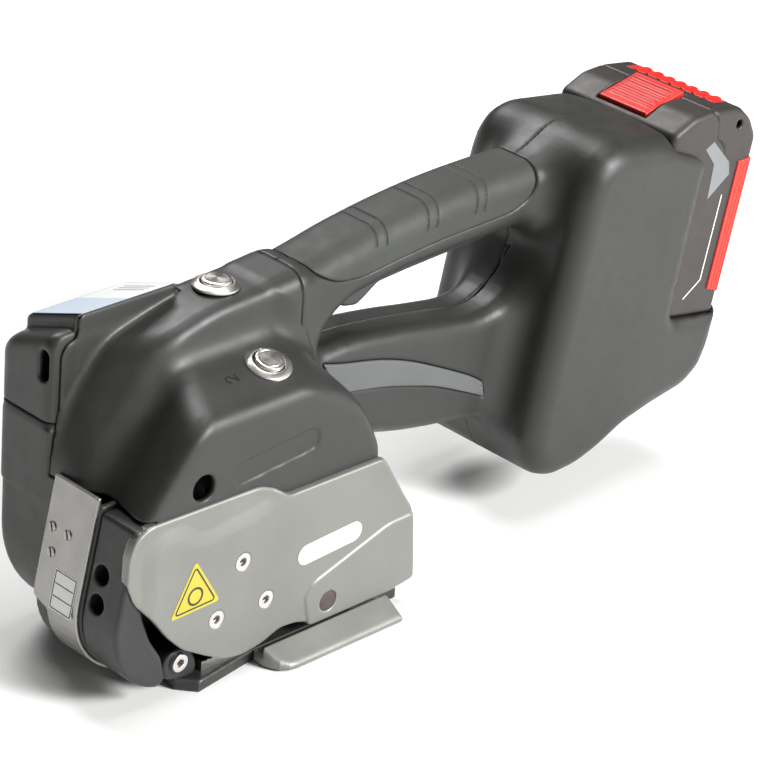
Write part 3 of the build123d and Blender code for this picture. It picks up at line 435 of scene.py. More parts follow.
FOOT = material(
    "foot_casting", (0.20, 0.205, 0.19), (0.25, 0.255, 0.235), 0.5, 0.35, 30,
    [(1300, 0.07, ROUND), (240, 0.06, ROUND)], wear=(0.45, 0.45, 0.42),
)
FRAME = material(
    "frame_casting", (0.40, 0.41, 0.42), (0.5, 0.51, 0.52), 0.5, 0.8, 40,
    [(900, 0.06, ROUND)],
)
STEEL = material(
    "hardened_steel", (0.32, 0.31, 0.29), (0.40, 0.39, 0.37), 0.35, 1.0, 60,
    [(700, 0.02, (1, 8, 1))],
)
STRIP = material(
    "bright_strip", (0.28, 0.27, 0.255), (0.35, 0.34, 0.325), 0.36, 0.8, 22,
    [(260, 0.01, (12, 1, 0.3))], wear=(0.7, 0.69, 0.67),
)
ZINC = material(
    "white_zinc", (0.66, 0.66, 0.64), (0.74, 0.73, 0.71), 0.32, 0.9, 80,
    [(600, 0.01, ROUND)],
)
SOCKET = material(
    "screw_socket", (0.10, 0.06, 0.035), (0.17, 0.10, 0.06), 0.5, 0.6, 200,
    [(900, 0.03, ROUND)],
)
OXIDE = material(
    "dark_screw", (0.085, 0.065, 0.062), (0.12, 0.095, 0.09), 0.45, 0.5, 60,
    [(900, 0.02, ROUND)],
)
TRIM = material(
    "trim_plastic", (0.10, 0.105, 0.105), (0.12, 0.126, 0.126), 0.42,
    bumps=[(2200, 0.03, ROUND)],
)
RED = material(
    "battery_red", (0.56, 0.016, 0.010), (0.63, 0.021, 0.014), 0.4,
    bumps=[(2000, 0.03, ROUND)],
)
ORANGE = material(
    "battery_strip", (0.56, 0.022, 0.010), (0.64, 0.030, 0.015), 0.42,
    bumps=[(2000, 0.03, ROUND)],
)
BATTERY = material(
    "battery_plastic", (0.027, 0.0225, 0.020), (0.034, 0.029, 0.0255), 0.46,
    bumps=[(2400, 0.05, ROUND)],
)
PAPER = material(
    "label_white", (0.76, 0.77, 0.75), (0.82, 0.83, 0.81), 0.45,
    bumps=[(400, 0.01, ROUND)],
)
BLUE = material("label_blue", (0.50, 0.58, 0.68), (0.56, 0.63, 0.72), 0.45)
INK = material("label_ink", (0.02, 0.02, 0.02), (0.03, 0.03, 0.03), 0.5)
YELLOW = material("label_yellow", (0.42, 0.36, 0.03), (0.50, 0.43, 0.04), 0.42)
GREY = material("label_grey", (0.16, 0.17, 0.175), (0.20, 0.21, 0.215), 0.45)
PIT = material("shadow_black", (0.004, 0.004, 0.004), (0.006, 0.006, 0.006), 0.8)
GREEN = material("board_green", (0.02, 0.16, 0.07), (0.03, 0.20, 0.09), 0.35)
CELL = material("cell_wrap", (0.06, 0.24, 0.18), (0.08, 0.28, 0.21), 0.3)


def turned_metal(name, colour, roughness):
    """Bright metal brushed in rings round the piece's own Z axis."""
    made = material(name, tuple(0.9 * c for c in colour), colour, roughness, 1.0, 500)
    tree = made.node_tree
    shader = tree.nodes["Principled BSDF"]
    shader.inputs["Anisotropic"].default_value = 0.55
    round_it = tree.nodes.new("ShaderNodeTangent")
    round_it.direction_type, round_it.axis = "RADIAL", "Z"
    tree.links.new(round_it.outputs["Tangent"], shader.inputs["Tangent"])
    return made


TURNED = turned_metal("stainless_turned", (0.70, 0.68, 0.64), 0.3)


def finish_piece(piece, paint, body, nodes=()):
    """Paints a piece, hangs it on a body and hides the CAD nodes it stands for."""
    if paint:
        piece.data.materials.clear()
        piece.data.materials.append(paint)
    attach(piece, body)
    if nodes:
        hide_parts(*nodes)
    return piece


# ---- Form of the front body ------------------------------------------------------------------
NEAR_FACE, FAR_FACE, SEAM_Y = -57.0, 39.0, 3.0
COVER_Z, CAP_Z, CAP_REAR, NOSE_SPLIT = 94.0, 118.0, -27.0, -60.0
WALL = 3.0
NOSE_FRONT, NOSE_CURL = -98.0, 34.0
SHELL_FRONT, SHELL_CURL, SHELL_TOP = -98.5, 55.0, 57.5
NOSE_LEAN = math.radians(11.0)
CURL_Z = 8.0 + NOSE_CURL
CURL_X = NOSE_CURL / math.cos(NOSE_LEAN) + NOSE_FRONT - (98 - CURL_Z) * math.tan(NOSE_LEAN)
PLATFORM = (0, -0.309, 0.951)
FAR_SLOPE = (0, 0.36, 0.933)
HANDLE_START = 22.0
REAR_PLANES = [((36, 0, 113), (0.857, 0, 0.515)), ((46, 0, 95), (0.933, 0, 0.359))]
TENSION_BUTTON, WELD_BUTTON = (-13.0, -5.0, 164.6), (-9.5, -37.0, 137.6)


def nose_point(z, out=0.0):
    return NOSE_FRONT - (98 - z) * math.tan(NOSE_LEAN) - out / math.cos(NOSE_LEAN), z


def curl(start, end, radius=NOSE_CURL, steps=14):
    """Points of the arc under the nose. Angle 0 faces forward, 90 faces down."""
    angles = np.radians(np.linspace(start, end, steps))
    return [(CURL_X - radius * math.cos(a), CURL_Z - radius * math.sin(a)) for a in angles]


BODY_REAR = [(62, 6), (62, 50), (50, 84), (46, 96), (39, 115)]
LEANING_OUTLINE = curl(-11, 90) + [(-68.3, 6)] + BODY_REAR + [nose_point(115)]
SHELL_OUTLINE = [
    (SHELL_FRONT + SHELL_CURL - math.sqrt(SHELL_CURL**2 - (SHELL_TOP - z) ** 2), z)
    for z in np.linspace(SHELL_TOP, 6, 12)
] + BODY_REAR + [(SHELL_FRONT, 115)]
CROWN_OUTLINE = rounded([
    (-98, 70), (-98, 98), (-92, 129), (-75, 151), (-27, 163.4), (30, 166.4), (30, 113), (36, 113),
    (46, 95), (52, 70),
], 9)


def near_box(x, y, z):
    made = inside_planes([
        ((0, NEAR_FACE, 0), (0, -1, 0)), ((0, NEAR_FACE, 131.5), PLATFORM),
        ((-96, NEAR_FACE, 94), (-0.7707, 0.1622, 0.6165)), ((9, NEAR_FACE, 130.5), (0.529, -0.278, 0.801)),
        *REAR_PLANES, ((0, -19.5, 0), (0, 1, 0)),
    ], 8, x, y, z)
    return np.maximum(made, 60 - z)


def far_box(x, y, z):
    made = inside_planes([
        ((SHELL_FRONT, 0, 0), (-1, 0, 0)), ((0, FAR_FACE, 0), (0, 1, 0)), ((0, 1, 162), FAR_SLOPE),
        ((-18, 0, 158), (0.45, 0, 0.893)), *REAR_PLANES, ((0, 1.5, 0), (0, -1, 0)),
    ], 8, x, y, z)
    return np.maximum(made, 80 - z)


def pedestal(x, y, z):
    return inside_planes([
        ((-86, 0, 0), (-1, 0, 0)), ((-30, 0, 0), (1, 0, 0)),
        ((0, 1.5, 0), (0, -1, 0)), ((0, 36.5, 0), (0, 1, 0)),
        ((0, 1.5, 168.3), FAR_SLOPE), ((0, 0, 140), (0, 0, -1)),
    ], 2.5, x, y, z)


def crown(x, y, z):
    made = extruded(polygon(CROWN_OUTLINE, x, z), band(y, -22, 12), 7)
    return smax(made, plane((-91, -12, 112), (-0.68, -0.582, 0.4475), x, y, z), 8)


def lower_core(x, y, z):
    leaning = extruded(polygon(LEANING_OUTLINE, x, z), band(y, -33, -2), 1.5)
    upright = extruded(polygon(SHELL_OUTLINE, x, z), band(y, -33, FAR_FACE), 8)
    return np.minimum(leaning, upright)


def upper_form(x, y, z):
    made = smin(near_box(x, y, z), crown(x, y, z), 11)
    made = smin(made, far_box(x, y, z), 4)
    return smin(made, pedestal(x, y, z), 1.5)


def lower_form(x, y, z):
    return smin(lower_core(x, y, z), far_box(x, y, z), 2)


def hollow(d, wall=WALL):
    return np.abs(d + wall / 2) - wall / 2


# ---- Form of the handle, strut, housing and battery ------------------------------------------
HANDLE_Y, HANDLE_HALF = -5.0, 17.0
HANDLE_TOP = [
    (HANDLE_START - 14, 162.5), (36, 167.4), (63, 173), (95, 177.6), (126, 180.2), (158, 181), (200, 181),
]
HANDLE_UNDER = [
    (200, 150), (150, 148.6), (100, 147), (70, 144), (56, 140.5), (45, 132.5), (36, 118), (12, 116),
]
STRUT_TOP = [(22, 120), (56, 122.5), (93, 118.5), (125, 113), (148, 110.5), (166, 116), (186, 130)]
STRUT_UNDER = [(186, 48), (135, 55.5), (97, 62), (60, 72), (34, 80)]
HOUSING_HALF, LEAN = 42.0, math.radians(10.5)
HOUSING_OUTLINE = [
    (160, 45), (164, 33), (172, 24), (183, 19.5), (200, 20.5), (215, 25), (232, 32.5), (252, 37),
    (277, 41), (289, 49), (295, 62), (299, 83), (262, 86), (276, 168), (268, 177), (246, 187),
    (207, 192.5), (196, 190), (188.5, 182.5), (184.5, 172), (172, 109),
]
BATTERY_OUTLINE = [
    (294, 78), (309.2, 160), (311.3, 171), (306, 181), (297, 189), (276, 192), (262, 191.4),
    (247.5, 185.5), (229.5, 90),
]
BATTERY_HALF = 38.0
GRIP_OUTLINE = [
    (26, 200), (26, 171), (33, 162.5), (46, 156), (62, 154.5), (86, 157.5), (112, 159.8), (140, 160.8),
    (160, 161.5), (170, 166), (174, 174), (174, 200),
]
HANDLE_PLAN = smooth_line(HANDLE_TOP, 4) + smooth_line(HANDLE_UNDER, 4)
STRUT_PLAN = smooth_line(STRUT_TOP, 4) + smooth_line(STRUT_UNDER, 4)
HOUSING_PLAN = rounded(HOUSING_OUTLINE, 5)
BATTERY_PLAN = rounded(BATTERY_OUTLINE, 3)
GRIP_PLAN = rounded(GRIP_OUTLINE, 6)
# The side of this line that is up belongs to the handle, the other side to the strut.
DIVIDE = [
    (22, 230), (22, 112), (33, 112), (38, 120.5), (46, 124), (60, 130), (130, 132), (205, 132), (205, 230),
]


def handle(x, y, z):
    return extruded(polygon(HANDLE_PLAN, x, z), np.abs(y - HANDLE_Y) - HANDLE_HALF, 11)


def strut(x, y, z):
    return extruded(polygon(STRUT_PLAN, x, z), np.abs(y - HANDLE_Y) - HANDLE_HALF, 8)


def housing(x, y, z):
    across = (y - HANDLE_Y) / HOUSING_HALF
    lifted = z + 3.5 * across**2 * np.clip((z - 150) / 30, 0, 1)
    return extruded(polygon(HOUSING_PLAN, x, lifted), np.abs(y - HANDLE_Y) - HOUSING_HALF, 12)


def battery(x, y, z, grow=0.0):
    plan = polygon(BATTERY_PLAN, x, z) - grow
    return extruded(plan, np.abs(y - HANDLE_Y) - BATTERY_HALF - grow, 3.5)


def pocket(x, y, z):
    lift_x, lift_z = 40 * math.sin(LEAN), 40 * math.cos(LEAN)
    made = battery(x, y, z, 0.6)
    for n in (1, 2):
        made = np.minimum(made, battery(x - n * lift_x, y, z - n * lift_z, 0.6))
    return made


def top_form(x, y, z):
    """The body above its joint, with the root of the handle."""
    return smin(upper_form(x, y, z), handle(x, y, z), 9)


def outside(x, y, z):
    """The whole shell: body, handle, strut and housing flow into each other."""
    made = smin(top_form(x, y, z), strut(x, y, z), 5)
    return smin(made, housing(x, y, z), 18)


def handle_side(x, y, z):
    """The space that belongs to the handle."""
    return np.maximum(polygon(DIVIDE, x, z), np.abs(y - HANDLE_Y) - 19.2)


HAIRLINE = 0.5


def main_cover(x, y, z):
    skirt = polygon([(-88, 81), (-14, 81), (-14, 75), (44, 75), (46, 99), (-88, 99)], x, z)
    region = np.minimum(COVER_Z - z, np.maximum(skirt, y + 53.9))
    crown_top = np.maximum(np.maximum(CAP_REAR - x, x - HANDLE_START), np.maximum(150 - z, y - 12.5))
    region = np.maximum(region, np.minimum(y - SEAM_Y, crown_top))
    made = smax(hollow(top_form(x, y, z)), region, 1.2)
    made = smax(made, -handle_side(x, y, z), HAIRLINE)
    made = np.maximum(made, x - 53)
    made = smax(made, -rod(TENSION_BUTTON, (0, 0, 1), 9.45, x, y, z), 0.5)
    made = smax(made, -rod(WELD_BUTTON, PLATFORM, 9.45, x, y, z), 0.5)
    access = np.maximum(rod((-62, 0, 102), (0, 1, 0), 6.2, x, y, z), y + 50)
    made = smax(made, -access, 1.0)
    tilt = math.radians(5)
    u = (x + 19.5) * math.cos(tilt) + (z - 103.8) * math.sin(tilt)
    v = (z - 103.8) * math.cos(tilt) - (x + 19.5) * math.sin(tilt)
    badge = np.hypot(np.maximum(np.abs(u) - 20, 0), v) - 5.4
    return smax(made, -np.maximum(badge, y + 56.3), 0.6)


def nose_cap(x, y, z):
    region = np.maximum(np.maximum(SEAM_Y - y, CAP_Z - z), x - CAP_REAR)
    made = smax(hollow(upper_form(x, y, z)), region, 1.2)
    u = np.hypot(y - 9, np.maximum(np.abs(z - 143 + (x + 90) * 0.2) - 4.5, 0)) - 2.8
    slot = np.maximum(u, x + 76)
    return smax(made, -slot, 1.4)


def nose_shell(x, y, z):
    below = np.maximum(x - NOSE_SPLIT, z - COVER_Z)
    beside = np.maximum(np.maximum(x - NOSE_SPLIT, z - CAP_Z), SEAM_Y - y)
    region = np.minimum(below, beside)
    return smax(hollow(lower_form(x, y, z)), region, 1.0)


def far_cover(x, y, z):
    cap = np.maximum(np.maximum(-y, CAP_Z - z), x - CAP_REAR)
    nose = np.maximum(x - NOSE_SPLIT, z - CAP_Z)
    crown_top = np.maximum(np.maximum(CAP_REAR - x, x - HANDLE_START), np.maximum(150 - z, y - 12.5))
    form = smin(smin(lower_form(x, y, z), crown(x, y, z), 4), handle(x, y, z), 6)
    made = smax(hollow(form), SEAM_Y - y, 1.0)
    made = smax(made, -cap, 1.2)
    made = smax(made, -nose, 1.0)
    made = smax(made, -crown_top, HAIRLINE)
    made = smax(made, -handle_side(x, y, z), HAIRLINE)
    for sx, sz in ((31, 20), (31, 62), (-4, 62)):
        recess = np.maximum(np.hypot(x - sx, z - sz) - 3.5, FAR_FACE - 2.4 - y)
        made = smax(made, -recess, 0.4)
    made = np.maximum(np.maximum(made, 6 - z), x - 63)
    return np.maximum(made, -np.maximum(z - 14, y - 36))


def rear_cover(x, y, z):
    region = np.maximum(np.maximum(NOSE_SPLIT - x, y - SEAM_Y), z - COVER_Z)
    made = smax(hollow(lower_core(x, y, z)), region, 0.8)
    opened = np.maximum(np.maximum(x - 57, y + 25), z - 90)
    floor = np.maximum(z - 14, x - 58)
    return np.maximum(np.maximum(made, -opened), -floor)


def add_front_covers():
    step = 1.1
    for name, shape, low, high, node in (
        ("main_cover_moulding", main_cover, (-99, -57, 74), (54, 15, 172), "main_cover"),
        ("nose_cap_moulding", nose_cap, (-98, 3, 117), (-26, 39, 169), "nose_cap"),
        ("nose_shell_moulding", nose_shell, (-112, -33, 2), (-59, 39, 119), "nose_shell"),
        ("far_cover_moulding", far_cover, (-61, 3, 5), (64, 39, 166), "far_cover"),
        ("rear_cover_moulding", rear_cover, (-61, -33, 5), (63, 4, 95), "rear_cover"),
    ):
        piece = moulded(name, shape, low, high, step)
        finish_piece(piece, COVER, "frame", [node])


# ---- Handle, strut and housing ---------------------------------------------------------------
LEVER_SLOT = 9.2
LEVER_ROOM = [
    (37, 139), (52, 130), (70, 126), (162, 136), (163, 170), (120, 168), (60, 159), (48, 162), (37, 160),
]
PIN_X, PIN_Z = 44.0, 152.0


def handle_cut(x, y, z):
    """What is taken out of the handle: room for the lever, its pin and the seat of the grip."""
    room = np.maximum(polygon(LEVER_ROOM, x, z), np.abs(y - HANDLE_Y) - LEVER_SLOT)
    pin = np.maximum(np.hypot(x - PIN_X, z - PIN_Z) - 2.6, np.abs(y - HANDLE_Y) - 15.1)
    seat = np.maximum(polygon(GRIP_PLAN, x, z), -(handle(x, y, z) + 1.6)) - 0.3
    return np.minimum(np.minimum(room, pin), seat)


GROOVES = (72, 78, 103.5, 109.5, 135, 141)


def grip(x, y, z):
    bar = handle(x, y, z)
    made = smax(np.maximum(bar - 0.45, -(bar + 1.5)), polygon(GRIP_PLAN, x, z), 0.9)
    for at in GROOVES:
        across = np.abs(x - at - 0.25 * (z - 178)) - 0.4
        made = smax(made, -np.maximum(np.maximum(across, 166 - z), -(bar + 0.3)), 0.5)
    return made


TRIM_UPPER = [(40, 116.5), (53, 113), (76, 108), (96, 101.5), (117, 92), (139, 81), (149, 74.5)]
TRIM_LOWER = [(151, 66.2), (140, 71.5), (118, 81.5), (98, 88), (77, 93.5), (49, 98.5)]
TRIM_PLAN = rounded(smooth_line(TRIM_UPPER, 4) + smooth_line(TRIM_LOWER, 4), 2)


def strut_cut(x, y, z):
    """What is taken out of the strut: its hollow, the seat of the trim and the screw recesses."""
    made = np.maximum(strut(x, y, z) + 4, x - 160)
    groove = np.maximum(polygon(TRIM_PLAN, x, z) - 0.35, y + 20.7)
    for sx, sz in ((76, 94), (134, 87)):
        groove = np.minimum(groove, np.maximum(np.hypot(x - sx, z - sz) - 3.5, 9 - y))
    return np.minimum(made, groove)


def trim(x, y, z):
    made = extruded(polygon(TRIM_PLAN, x, z), band(y, -22.6, -20.8), 0.7)
    return smax(made, -np.maximum(np.hypot(x - 147.8, z - 72.3) - 0.5, y + 22.0), 0.2)


PANEL_Y = -4.0
SCOOP_PLAN = rounded([
    (255, 104), (262.5, 95), (267, 87.5), (274, 81.5), (283, 80), (291, 83.8), (296, 82), (300, 110),
], 3)


def housing_cut(x, y, z):
    """What is taken out of the housing: its hollow and the screw recesses."""
    made = np.maximum(housing(x, y, z) + 3.6, -(battery(x, y, z, 3.9)))
    made = np.maximum(made, -np.maximum(240 - x, 100 - z))
    for sx, sz in ((181, 50), (196, 172), (244, 58)):
        made = np.minimum(made, np.maximum(np.hypot(x - sx, z - sz) - 3.5, 34 - y))
    scoop = np.maximum(polygon(SCOOP_PLAN, x, z), 36 - np.abs(y - HANDLE_Y))
    stretch = np.maximum(np.abs(z - 110) - 26, x - 205)
    line = np.maximum(np.abs(y - PANEL_Y + (z - 110) * 0.13) - 0.35, stretch)
    groove = np.maximum(line, -(housing(x, y, z) + 0.4))
    return np.minimum(np.minimum(made, scoop), groove)


def rear_shell(x, y, z):
    """Handle, strut and housing, moulded as one."""
    cover = np.maximum(top_form(x, y, z), -handle_side(x, y, z))
    made = smax(outside(x, y, z), 0.06 - cover, HAIRLINE)
    made = np.maximum(made, 20 - x)
    made = smax(made, -pocket(x, y, z), 1.6)
    made = smax(made, -np.minimum(handle_cut(x, y, z), strut_cut(x, y, z)), 0.6)
    return np.maximum(made, -housing_cut(x, y, z))


def halves(shape):
    """The near and far half of a split shell."""
    near = lambda x, y, z: smax(shape(x, y, z), y - HANDLE_Y, 0.5)
    far = lambda x, y, z: smax(shape(x, y, z), HANDLE_Y - y, 0.5)
    return (("near", near), ("far", far))


def add_rear_shells():
    for word, half in halves(rear_shell):
        near_y, far_y = (-47, HANDLE_Y) if word == "near" else (HANDLE_Y, 37)
        piece = moulded(f"rear_shell_{word}_moulding", half, (20, near_y, 18), (300, far_y, 194), 1.2)
        stood_for = [f"{part}_{word}_half" for part in ("handle", "strut", "housing")]
        finish_piece(piece, COVER, "frame", stood_for)
    piece = moulded("grip_moulding", grip, (25, -23, 150), (176, 13, 182), 0.8)
    finish_piece(piece, GRIP, "frame", ["grip_insert"])
    piece = moulded("strut_trim_moulding", trim, (38, -23, 64), (155, -20, 118), 0.6)
    finish_piece(piece, TRIM, "frame", ["strut_trim"])


LEVER_OUTLINE = rounded([
    (40, 149), (46, 146), (54, 140.5), (60, 136), (68, 134.6), (74, 138), (81, 142.6), (100, 144),
    (126, 145.3), (152, 146.6), (157, 149.5), (156, 153), (60, 154.5), (47, 158), (40, 156),
], 2)


def lever(x, y, z):
    made = extruded(polygon(LEVER_OUTLINE, x, z), np.abs(y - HANDLE_Y) - 8.5, 2.2)
    return np.maximum(made, 2.65 - np.hypot(x - PIN_X, z - PIN_Z))


# ---- Rocker, foot and the metal parts of the nose --------------------------------------------
CAST_FACE = -60.0
ROCKER_ARC = [(-14, 15.5), (-24, 11.6), (-36, 10), (-47, 12), (-58, 17.6), (-72, 26)]
ROCKER_OUTLINE = rounded([
    (-81, 35), (-90, 47), (-100, 58), (-104, 68), (-103.5, 82), (-100.5, 89.5), (-92.5, 93.6), (-29, 92.3),
    (-20, 88.5), (-13, 83.5), (46, 83), (61, 59), (67, 50.5), (71, 12.5), (55, 10.4), (5, 10.5), (2, 13),
    (-5, 15),
] + ROCKER_ARC, 3)
BLOCK_OUTLINE = rounded([(4, 9), (0.2, 27), (5.6, 33), (51, 47.5), (68, 48), (71, 9)], 3)
FACE_OUTLINE = rounded([
    (-88.5, 60), (-90, 68), (-90, 77), (-83.5, 83), (-74.5, 81.8), (-67.5, 75.5), (-60, 74.3), (-25, 77.8),
    (-19, 81), (-14, 90), (60, 90), (90, 60), (90, 0), (-60, 0), (-84, 22), (-96, 36), (-90, 50),
], 5)


def rocker(x, y, z):
    plan = polygon(ROCKER_OUTLINE, x, z)
    fall = np.clip(polygon(FACE_OUTLINE, x, z) / 7.0, 0, 1)
    front = CAST_FACE + 1.9 * fall**1.2
    made = extruded(plan, np.maximum(front - y, y + 56.4), 1.1)
    block = extruded(np.maximum(polygon(BLOCK_OUTLINE, x, z), plan), band(y, -60.9, -58), 1.0)
    made = smin(made, block, 0.8)
    rim = extruded(np.maximum(np.abs(plan + 1.3) - 1.1, 68 - z), band(y, -58, -52.6), 0.6)
    made = smin(made, rim, 1.0)
    rear = np.maximum(polygon([(65, 50.5), (67, 50.5), (70.3, 14), (68, 14)], x, z), band(y, -58, -44))
    made = smin(made, rear, 1.0)
    boss = np.maximum(np.hypot(x - 15, z - 20) - 10.6, band(y, -58, -36.5))
    rib = np.maximum(polygon([(-1, 34), (2, 56), (26, 58), (26, 26), (8, 26)], x, z), band(y, -58, -36.5))
    made = smin(smin(made, boss, 1.5), rib, 1.5)
    made = smax(made, 5.15 - np.hypot(x - 15, z - 20), 0.3)
    for sx, sz in SCREW_STAR:
        away = np.hypot(x - sx, z - sz)
        sink = np.maximum(away - 4.75, away + (y - CAST_FACE) - 4.75)
        made = smax(made, -sink, 0.25)
    return made


FOOT_SECTION = [
    (-54.6, 0), (-73, 0), (-73, 2.6), (-61.2, 9.6), (-60.6, 9.6), (-60.6, 6), (-54.6, 6),
]
FOOT_PLAN = [
    (-25, -54), (-25, -62), (-23.6, -66), (-21.5, -69.5), (-17, -72.2), (-12.5, -73), (54, -73), (54, -54),
]


def foot(x, y, z):
    section = polygon(FOOT_SECTION, y, z)
    return smax(section, polygon(FOOT_PLAN, x, y), 2.6)


PLATE_OUTLINE = rounded(
    curl(-11, 76)
    + [(-78, 12), (-81, 24), (-88, 35), (-93, 48), (-94, 62), (-90, 92.5), nose_point(92.5)],
    2.5,
)


def front_plate(x, y, z):
    made = extruded(polygon(PLATE_OUTLINE, x, z), band(y, -56.6, -33.2), 2.2)
    for height, at in ((66.4, -40.6), (53.0, -41.0)):
        made = smax(made, -rod((nose_point(height)[0], at, height), (-1, 0, 0.19), 4.6, x, y, z), 0.9)
    return made


STRIP_CUT = [(3, 120), (-3, 120), (-3, 42), (-4, 40.8), (-11.2, 38.4), (-12, 37), (-12, -10), (3, -10)]


def strip(x, y, z):
    lying = np.abs(polygon(LEANING_OUTLINE, x, z) - 0.85) - 0.8
    made = extruded(lying, band(y, -32, -3), 0.25)
    made = smax(made, np.maximum(z - 98, x + 83.5), 0.3)
    made = np.maximum(made, x + 80)
    return smax(made, -polygon(STRIP_CUT, y, z), 0.5)


def base_bar(x, y, z):
    plan = polygon([(-68, -52), (-61, -60), (-24, -54.6), (66, -54.6), (66, 34), (-68, 34)], x, y)
    made = extruded(plan, band(z, 0, 6), 0.8)
    lip = plane((-62, -57, 6.5), (-0.45, -0.55, 0.7), x, y, z)
    made = smax(made, lip, 1.0)
    for bx in (-50, 50):
        for by in (-20, 24):
            made = np.maximum(made, 2.6 - np.hypot(x - bx, y - by))
    return made


GUIDE_SCREW = (-69.5, 16.5)
GUIDE_OUTLINE = rounded([(-58, 6), (-58, 13), (-63, 22.5), (-72, 23), (-78.5, 18), (-76, 9), (-66, 6)], 3)


def strap_guide(x, y, z):
    made = extruded(polygon(GUIDE_OUTLINE, x, z), band(y, -54, -34), 1.5)
    return np.maximum(made, 2.0 - np.hypot(x - GUIDE_SCREW[0], z - GUIDE_SCREW[1]))


def screw(name, place, head, height, key, body, node, kind="hex", cone=False, paint=None):
    """A screw head with its recess, on a shank that points into the part."""
    turn = place.inverted()
    rows = [[turn[i][j] for j in range(4)] for i in range(3)]

    def shape(x, y, z):
        u, v, w = (r[0] * x + r[1] * y + r[2] * z + r[3] for r in rows)
        away = np.hypot(u, v)
        made = extruded(away - head - (np.minimum(w, 0) if cone else 0), band(w, -height, 0), 0.3)
        made = np.minimum(made, extruded(away - 1.9, band(w, -height - 6, -height + 0.5), 0.2))
        if kind == "hex":
            slants = np.maximum(np.abs(0.5 * u + 0.866 * v), np.abs(0.5 * u - 0.866 * v))
            sides = np.maximum(np.abs(u), slants)
            return smax(made, -np.maximum(sides - key, -2.0 - w), 0.15)
        return smax(made, -np.maximum(np.abs(u + 0.45 * v) - key, -0.9 - w), 0.1)

    reach = head + 1
    spot = np.array(place.translation)
    back = np.array((place @ Vector((0, 0, -height - 6.5))))
    low, high = np.minimum(spot, back) - reach, np.maximum(spot, back) + reach
    made = moulded(name, shape, tuple(low), tuple(high), 0.32, 40)
    finish_piece(made, paint or ZINC, body, [node] if node else [])
    if kind == "hex":
        angles = np.radians(np.arange(0, 360, 60))
        ring = [(key * 1.08 * math.cos(a), key * 1.08 * math.sin(a)) for a in angles]
        floor = prism(name + "_socket", ring, place @ Matrix.Translation((0, 0, -1.9)), 0.6)
        finish_piece(floor, SOCKET, body)
    return made


SCREW_STAR = [(-39.0, 58.9), (-23.6, 34.3), (-53.0, 34.7)]
STRIP_SCREWS = [(-7.5, 75.5), (-17.8, 75.7), (-9.8, 64.5)]


def add_metal_parts():
    for name, shape, low, high, step, paint, body, slot_name, node in (
        ("rocker_cast_arm", rocker, (-105, -61, 8), (72, -36, 95), 0.85, CAST, "rocker",
         "rocker_paint", "rocker_casting"),
        ("side_foot_cast", foot, (-26, -74, 0), (55, -54, 10), 0.6, FOOT, "frame", "foot_casting",
         "side_foot"),
        ("front_plate_steel", front_plate, (-112, -57, 2), (-78, -33, 94), 0.7, PHOSPHATE, "frame",
         "dark_steel",
         "front_plate"),
        ("front_strip_bent", strip, (-113, -33, 1), (-80, -2, 99), 0.5, STRIP, "frame",
         "bright_strip", "front_strip"),
        ("base_bar_steel", base_bar, (-69, -61, 0), (67, 35, 7), 0.9, PHOSPHATE, "frame",
         "dark_steel", "base_plate"),
        ("strap_guide_block", strap_guide, (-79, -55, 5), (-57, -33, 24), 0.6, BLACK, "frame",
         "black_moulding",
         "strap_guide"),
        ("squeeze_lever_moulding", lever, (39, -14, 134), (158, 4, 159), 0.8, LEVER, "lever",
         "lever_plastic",
         "squeeze_lever"),
    ):
        finish_piece(moulded(name, shape, low, high, step), paint, body, [node])
    for i, (x, z) in enumerate(SCREW_STAR):
        place = place_at((x, -59.9, z), (0, -1, 0))
        screw(
            f"cover_screw_{i + 1}", place, 4.5, 2.4, 1.85, "rocker", "gear_cover_screws",
            cone=True,
        )
    for i, (y, z) in enumerate(STRIP_SCREWS):
        normal = (-math.cos(NOSE_LEAN), 0, math.sin(NOSE_LEAN))
        place = place_at((nose_point(z, 2.2)[0], y, z), normal, (0, -1, 0))
        screw(
            f"strip_screw_{i + 1}", place, 2.4, 0.8, 0.45, "frame", "front_strip_screws",
            "slot", paint=STEEL,
        )
    place = place_at((GUIDE_SCREW[0], -56.2, GUIDE_SCREW[1]), (0, -1, 0))
    screw("guide_screw", place, 4.3, 2.3, 1.9, "frame", "strap_guide_screw")
    profile = [(0.02, -33.0), (5.0, -33.0), (5.0, 0.3), (4.9, 0.55), (4.6, 0.7), (0.02, 0.7)]
    pin = revolved("pivot_pin_turned", profile, (15.0, -60.0, 20.0), (0, -1, 0))
    finish_piece(pin, OXIDE, "frame", ["pivot_pin"])


# ---- Buttons ---------------------------------------------------------------------------------
BEZEL = [
    (0.02, -12), (9.3, -12), (9.3, -0.1), (11.0, 0), (11.05, 0.5), (10.95, 0.9), (10.6, 1.15), (8.6, 2.15),
    (8.2, 2.3), (7.7, 2.25), (7.35, 1.9), (7.2, 1.2), (7.2, -3.0), (0.02, -3.0),
]
ACTUATOR = [
    (0.02, -2.9), (6.8, -2.9), (6.8, 2.9), (6.65, 3.35), (6.3, 3.6), (5.5, 3.65), (5.3, 3.45), (5.1, 3.45),
    (4.9, 3.65), (2.5, 3.75), (0.02, 3.8),
]


def add_buttons():
    """Bezel and actuator of both push buttons, brushed round their own axes."""
    for word, place, normal in (("tension", TENSION_BUTTON, (0, 0, 1)), ("weld", WELD_BUTTON, PLATFORM)):
        ring = revolved(f"{word}_bezel_turned", BEZEL, place, normal, 96)
        finish_piece(ring, TURNED, "frame", [f"{word}_button_bezel"])
        cap = revolved(f"{word}_actuator_turned", ACTUATOR, place, normal, 96)
        finish_piece(cap, TURNED, f"{word}_push", [f"{word}_button"])


